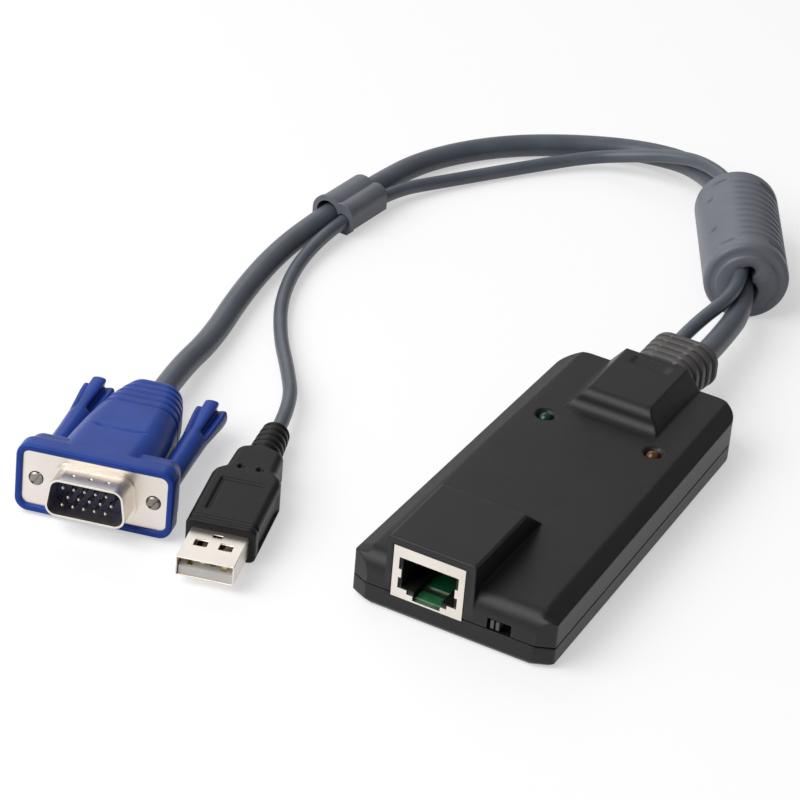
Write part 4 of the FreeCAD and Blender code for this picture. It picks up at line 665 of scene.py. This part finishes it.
# Video plug shell
# A drawn steel flange and shell, nickel plated, round a dark blue insulator with fifteen gilt pins. The
# hood is moulded round its flange. Its nose is turned towards the housing and lifted a little.
VIDEO_PLACE = (-77.5, -54.5, 8.42)
VIDEO_TURN = 14.0
VIDEO_PITCH = 4.0
VIDEO_SHELL_EDGE = 0.15
PIN_R = 0.36
PIN_TIP = 5.0
PIN_TIP_R = 0.02
PIN_BACK = -1.0
PIN_ROUND_STEPS = 16
PIN_TIP_STEPS = 5
PIN_COLUMNS = 5
PIN_ROWS = 3
PIN_PITCH = 2.29
PIN_STAGGER = 0.25
PIN_ROW_PITCH = 1.98


def pins():
    """Round pins in three rows, the middle row half a pitch to one side. The ring of a pin shrinks to its tip
    as a quarter circle, and every pin is the same ring stack moved to its place."""
    column, row = np.meshgrid(np.arange(PIN_COLUMNS) - PIN_COLUMNS // 2, np.arange(PIN_ROWS) - PIN_ROWS // 2)
    across = (column + np.where(row == 0, PIN_STAGGER, -PIN_STAGGER)) * PIN_PITCH
    centres = np.stack([across, row * PIN_ROW_PITCH], axis=-1).reshape(-1, 2)
    angle = np.linspace(0.0, 2 * math.pi, PIN_ROUND_STEPS, endpoint=False)
    lean = np.linspace(0.0, math.pi / 2, PIN_TIP_STEPS)
    along = -np.concatenate([[PIN_BACK], PIN_TIP - PIN_R * (1 - np.sin(lean))])
    radius = np.concatenate([[PIN_R], np.maximum(PIN_R * np.cos(lean), PIN_TIP_R)])
    ring = radius[:, None, None] * np.stack([np.cos(angle), np.sin(angle)], axis=-1)
    x, z = np.moveaxis(centres[:, None, None, :] + ring, -1, 0)
    points = np.stack([x, np.broadcast_to(along[None, :, None], x.shape), z], axis=-1)
    points = lay_down(points, VIDEO_PLACE, VIDEO_TURN, VIDEO_PITCH)
    count, rows, around = points.shape[:3]
    index = np.arange(count * rows * around).reshape(count, rows, around)
    near, far = index[:, :-1], index[:, 1:]
    quads = np.stack([near, np.roll(near, -1, axis=2), np.roll(far, -1, axis=2), far], axis=-1).reshape(-1, 4)
    faces = quads[:, ::-1].tolist() + index[:, 0].tolist() + index[:, -1, ::-1].tolist()
    mesh = bpy.data.meshes.new("video_pin_row")
    mesh.from_pydata((points.reshape(-1, 3) * MM).tolist(), [], faces)
    mesh.polygons.foreach_set("use_smooth", np.ones(len(mesh.polygons), dtype=bool))
    mesh.materials.append(pin_metal)
    mesh.update()
    piece = bpy.data.objects.new("video_pin_row", mesh)
    bpy.context.scene.collection.objects.link(piece)
    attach(piece, "adapter")
    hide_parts("video_pins")


insert_blue = finish("insert_blue", (0.010, 0.018, 0.10), (0.008, 0.014, 0.08), roughness=0.4,
                     grain=4000.0, depth=0.00001)
pin_metal = finish("pin_metal", (0.62, 0.58, 0.50), (0.52, 0.48, 0.41), roughness=0.35, grain=3000.0,
                   depth=0.000002, metallic=1.0)
rounded("video_shell", nickel, "video_plug_shell", width=VIDEO_SHELL_EDGE)
dress(insert_blue, "video_insert")
pins()

# Video plug hood
# Blue vinyl moulded over the plug: a collar round the metal flange, a domed body with ring grooves at
# its tail, and a channel along each side for the thumbscrew.
HOOD_Y = (2.4, 3.4, 12.0, 20.0, 27.0, 30.0, 34.0, 37.0, 40.0)
HOOD_HALF = (10.5, 10.5, 10.3, 9.75, 9.0, 8.55, 7.75, 6.95, 5.9)
HOOD_RISE = (7.6, 7.6, 7.2, 6.85, 6.35, 6.15, 5.85, 5.6, 5.25)
HOOD_STEP = 0.14
HOOD_BLEND = 21
HOOD_END_R = 1.1
HOOD_ROUND = 0.72
TAIL_GROOVES = (27.0, 29.9, 32.5, 35.0, 37.4)
TAIL_HALF = 0.42
TAIL_DEPTH = 0.6
BROW_Y = 13.8
BROW_BEND = 0.02
BROW_REACH = 5.0
BROW_HALF = 0.4
BROW_DEPTH = 0.5
BROW_LOW = 3.0
SCREW_SPREAD = 12.5
CHANNEL_R = 3.15
CHANNEL_X = 4.0
LEAST_DISTANCE = 0.01
# Rings of the collar: place along the plug, half width, half height and corner radius.
COLLAR = ((0.7, 15.42, 6.27, 1.6), (-0.4, 15.42, 6.27, 1.6), (-0.6, 15.55, 6.4, 1.7), (-0.7, 15.8, 6.65, 1.9),
          (-0.7, 16.35, 7.3, 2.4), (-0.62, 16.6, 7.55, 2.7), (-0.4, 16.76, 7.7, 2.8), (-0.1, 16.8, 7.75, 2.8),
          (2.9, 16.8, 7.75, 2.8), (3.2, 16.74, 7.69, 2.8), (3.4, 16.6, 7.55, 2.7), (3.5, 16.4, 7.3, 2.5),
          (3.6, 16.2, 7.1, 2.3), (3.8, 16.1, 6.95, 2.3), (6.4, 15.95, 6.75, 2.6), (7.0, 15.8, 6.6, 2.6),
          (7.3, 15.5, 6.3, 2.4), (7.4, 15.0, 5.8, 2.2))


def smoothed(values, width):
    """Running mean of a row of values over a number of places, its ends carried on."""
    padded = np.concatenate([np.full(width, values[0]), values, np.full(width, values[-1])])
    return np.convolve(padded, np.full(width, 1 / width), mode="same")[width:-width]


def hood_rings():
    """Rings of the hood, sized by smoothed lines through its sections. Tail grooves shrink them, and the brow
    sinks the top by a dip about a parabola. A point nearer to a screw's axis than the channel's radius moves
    away from it sideways, by its sideways distance times (radius - distance) over distance."""
    along, draw = round_ends(np.arange(HOOD_Y[0], HOOD_Y[-1] - HOOD_END_R, HOOD_STEP), HOOD_Y[-1], HOOD_END_R)
    grooves = TAIL_DEPTH * sum(dip(along, y, TAIL_HALF) for y in TAIL_GROOVES)
    half = smoothed(np.interp(along, HOOD_Y, HOOD_HALF), HOOD_BLEND) - draw - grooves
    rise = smoothed(np.interp(along, HOOD_Y, HOOD_RISE), HOOD_BLEND) - draw - grooves
    rings = round_rings(along, half, rise, rise * HOOD_ROUND, round_frame(corner_steps=16, side_steps=24))
    x, y, z = np.moveaxis(rings, -1, 0)
    brow = dip(y, BROW_Y + BROW_BEND * x ** 2, BROW_HALF) * dip(x, 0.0, BROW_REACH) * (z > BROW_LOW)
    rings[..., 2] -= BROW_DEPTH * brow
    for side in (-1, 1):
        from_screw = x - side * SCREW_SPREAD
        distance = np.maximum(np.hypot(from_screw, z), LEAST_DISTANCE)
        push = np.abs(from_screw * np.maximum(CHANNEL_R - distance, 0.0) / distance)
        rings[..., 0] -= np.where(side * x > CHANNEL_X, side * push, 0.0)
    return rings


hood_blue = finish("hood_blue", (0.014, 0.058, 0.34), (0.010, 0.045, 0.28), roughness=0.30, grain=5000.0,
                   depth=0.00003, shine=0.20)
skin("video_hood_body", lay_down(hood_rings(), VIDEO_PLACE, VIDEO_TURN, VIDEO_PITCH), hood_blue,
     "video_hood")
collar = round_rings(*np.array(COLLAR).T, round_frame(corner_steps=14, side_steps=6))
skin("video_hood_collar", lay_down(collar, VIDEO_PLACE, VIDEO_TURN, VIDEO_PITCH), hood_blue,
     "video_hood")

# Thumbscrews
# Steel screws in long knobs of the hood's blue vinyl, each flared to the rear and cut into four lobes for
# the fingers. They turn freely in the collar, with their tips in the flange.
KNOB_Y = (7.8, 8.2, 20.0, 27.0, 33.0, 37.0, 40.0)
KNOB_R = (2.5, 2.5, 2.55, 2.7, 3.2, 3.55, 3.6)
KNOB_STRAIGHT = 8.3
KNOB_STEP = 0.2
KNOB_BLEND = 9
KNOB_ROUND_STEPS = 120
KNOB_FRONT_R = 0.4
KNOB_END_R = 0.9
LOBE_DEPTH = 1.7
LOBE_HALF = 0.95
LOBE_START = 28.0
LOBE_FADE = 0.35
LOBE_ANGLES = (45.0, 135.0, 225.0, 315.0)


def knob(name, x, node, body):
    """Knob turned about its screw. Its radius follows the length, less a groove wherever the point's sideways
    distance from one of four planes through the axis is small."""
    along, draw = round_ends(np.arange(KNOB_STRAIGHT, KNOB_Y[-1] - KNOB_END_R, KNOB_STEP), KNOB_Y[-1],
                             KNOB_END_R, start=KNOB_Y[0], start_radius=KNOB_FRONT_R)
    angle = np.linspace(0.0, 2 * math.pi, KNOB_ROUND_STEPS, endpoint=False)
    radius = (smoothed(np.interp(along, KNOB_Y, KNOB_R), KNOB_BLEND) - draw)[:, None]
    turns = [angle - math.radians(lobe) for lobe in LOBE_ANGLES]
    grooves = sum(np.where(np.cos(turn) > 0, dip(radius * np.sin(turn), 0.0, LOBE_HALF), 0.0)
                  for turn in turns)
    radius = radius - LOBE_DEPTH * step_up(along, LOBE_START, LOBE_FADE)[:, None] * grooves
    rings = np.stack([x + radius * np.sin(angle), np.broadcast_to(along[:, None], radius.shape),
                      radius * np.cos(angle)], axis=-1)
    skin(name, lay_down(rings, VIDEO_PLACE, VIDEO_TURN, VIDEO_PITCH), hood_blue, node, body=body)


screw_steel = finish("screw_steel", (0.36, 0.34, 0.31), (0.22, 0.21, 0.19), roughness=0.38, grain=3000.0,
                     depth=0.000004, metallic=1.0)
knob("knob_left", -SCREW_SPREAD, "thumbscrew_knob_left", "thumbscrew_left")
knob("knob_right", SCREW_SPREAD, "thumbscrew_knob_right", "thumbscrew_right")
dress(screw_steel, "thumbscrew_shank_left", "thumbscrew_shank_right")

# USB plug
# Black vinyl grip with a cross line, a corner line and two dots moulded in its top and a ribbed tail, over
# a folded steel shell, nickel plated, round a white tongue with four contacts.
USB_PLACE = (-47.46, -60.68, 4.3)
USB_TURN = 14.9
USB_SHELL_EDGE = 0.14
GRIP_Y = (10.8, 12.0, 29.4, 30.8, 32.6, 33.6, 39.6, 40.6, 41.4, 41.6, 52.8)
GRIP_HALF = (7.4, 7.4, 7.4, 7.1, 5.5, 5.3, 5.05, 4.8, 4.1, 3.75, 3.1)
GRIP_RISE = (4.15, 4.15, 4.15, 4.12, 4.0, 3.98, 3.9, 3.85, 3.75, 3.75, 3.1)
GRIP_CORNER = (1.5, 1.5, 1.5, 1.5, 1.5, 1.5, 1.6, 1.9, 3.0, 3.75, 3.1)
GRIP_CORNER_ROOM = 0.02
GRIP_STEP = 0.15
GRIP_BLEND = 5
GRIP_END_R = 0.7
TAIL_RING_START = 41.6
TAIL_RING_PITCH = 2.24
TAIL_RING_LAG = 0.45
TAIL_RINGS = 5
TAIL_RING_HALF = 0.45
TAIL_RING_DEPTH = 0.7
CORNER_LINE_X = (-4.6, 4.6)
CORNER_LINE_Y = (15.6, 27.3)
LINE_WIDTH = 0.75
LINE_DEPTH = 0.4
CROSS_LINE_Y = (12.3, 13.0)
DOT_PLACES = ((-2.0, 32.6), (2.0, 32.6))
DOT_R = 0.62
DOT_DEPTH = 0.8
MARKS_LOW = 3.2
MARKS_FADE = 0.09
SCALLOP_Y = (14.0, 28.5)
SCALLOP_FADE = 0.5
SCALLOP_DEPTH = 0.55
SCALLOP_RISE = 2.6
SCALLOP_X = 6.5


def between(value, low, high, soft):
    """One between two bounds and nothing outside: a soft step up times a soft step down."""
    return step_up(value, low, soft) * step_up(-value, -high, soft)


def grip_rings():
    """Rings of the grip, sized by smoothed lines through its sections, and shrunk by the tail's grooves. On
    top, the lines and dots sink by their depth times soft steps. A scallop draws each side in."""
    straight = np.arange(GRIP_Y[0] + GRIP_END_R + GRIP_STEP, GRIP_Y[-1] - GRIP_END_R, GRIP_STEP)
    along, draw = round_ends(straight, GRIP_Y[-1], GRIP_END_R, start=GRIP_Y[0], start_radius=GRIP_END_R)
    grooves = TAIL_RING_DEPTH * sum(dip(along, TAIL_RING_START + TAIL_RING_PITCH * (i + TAIL_RING_LAG),
                                        TAIL_RING_HALF) for i in range(TAIL_RINGS))
    half = smoothed(np.interp(along, GRIP_Y, GRIP_HALF), GRIP_BLEND) - draw - grooves
    rise = smoothed(np.interp(along, GRIP_Y, GRIP_RISE), GRIP_BLEND) - draw - grooves
    corner = np.minimum(smoothed(np.interp(along, GRIP_Y, GRIP_CORNER), GRIP_BLEND),
                        np.minimum(half, rise) - GRIP_CORNER_ROOM)
    rings = round_rings(along, half, rise, corner, round_frame(corner_steps=9, side_steps=74))
    x, y, z = np.moveaxis(rings, -1, 0)
    left, right = CORNER_LINE_X
    front, rear = CORNER_LINE_Y
    line_along = between(x, left, left + LINE_WIDTH, MARKS_FADE) * between(y, front, rear, MARKS_FADE)
    line_across = between(x, left, right, MARKS_FADE) * between(y, rear - LINE_WIDTH, rear, MARKS_FADE)
    cross_line = between(y, *CROSS_LINE_Y, MARKS_FADE)
    lines = np.maximum(np.maximum(line_along, line_across), cross_line)
    dots = sum(step_up(-np.hypot(x - dot_x, y - dot_y), -DOT_R, MARKS_FADE) for dot_x, dot_y in DOT_PLACES)
    rings[..., 2] -= np.where(z > MARKS_LOW, LINE_DEPTH * lines + DOT_DEPTH * dots, 0.0)
    scalloped = (np.abs(z) < SCALLOP_RISE) & (np.abs(x) > SCALLOP_X)
    scallop = SCALLOP_DEPTH * between(y, *SCALLOP_Y, SCALLOP_FADE)
    rings[..., 0] -= np.sign(x) * np.where(scalloped, scallop, 0.0)
    return rings


grip_black = finish("grip_black", (0.0085, 0.0085, 0.0098), (0.006, 0.006, 0.0072), roughness=0.42,
                    grain=5000.0, depth=0.00004, shine=0.26)
skin("usb_grip_body", lay_down(grip_rings(), USB_PLACE, USB_TURN), grip_black, "usb_grip")
rounded("usb_shell", nickel, "usb_plug_shell", width=USB_SHELL_EDGE)
dress(white_insulator, "usb_tongue")
dress(gold, "usb_contacts")

# Cables on their curves
# The two cables are laid last. The boot, ferrite and clip hold both.
cable("video_cable_jacket", VIDEO_ROUTE, VIDEO_CABLE_D, "video_cable")
cable("usb_cable_jacket", USB_ROUTE, USB_CABLE_D, "usb_cable")
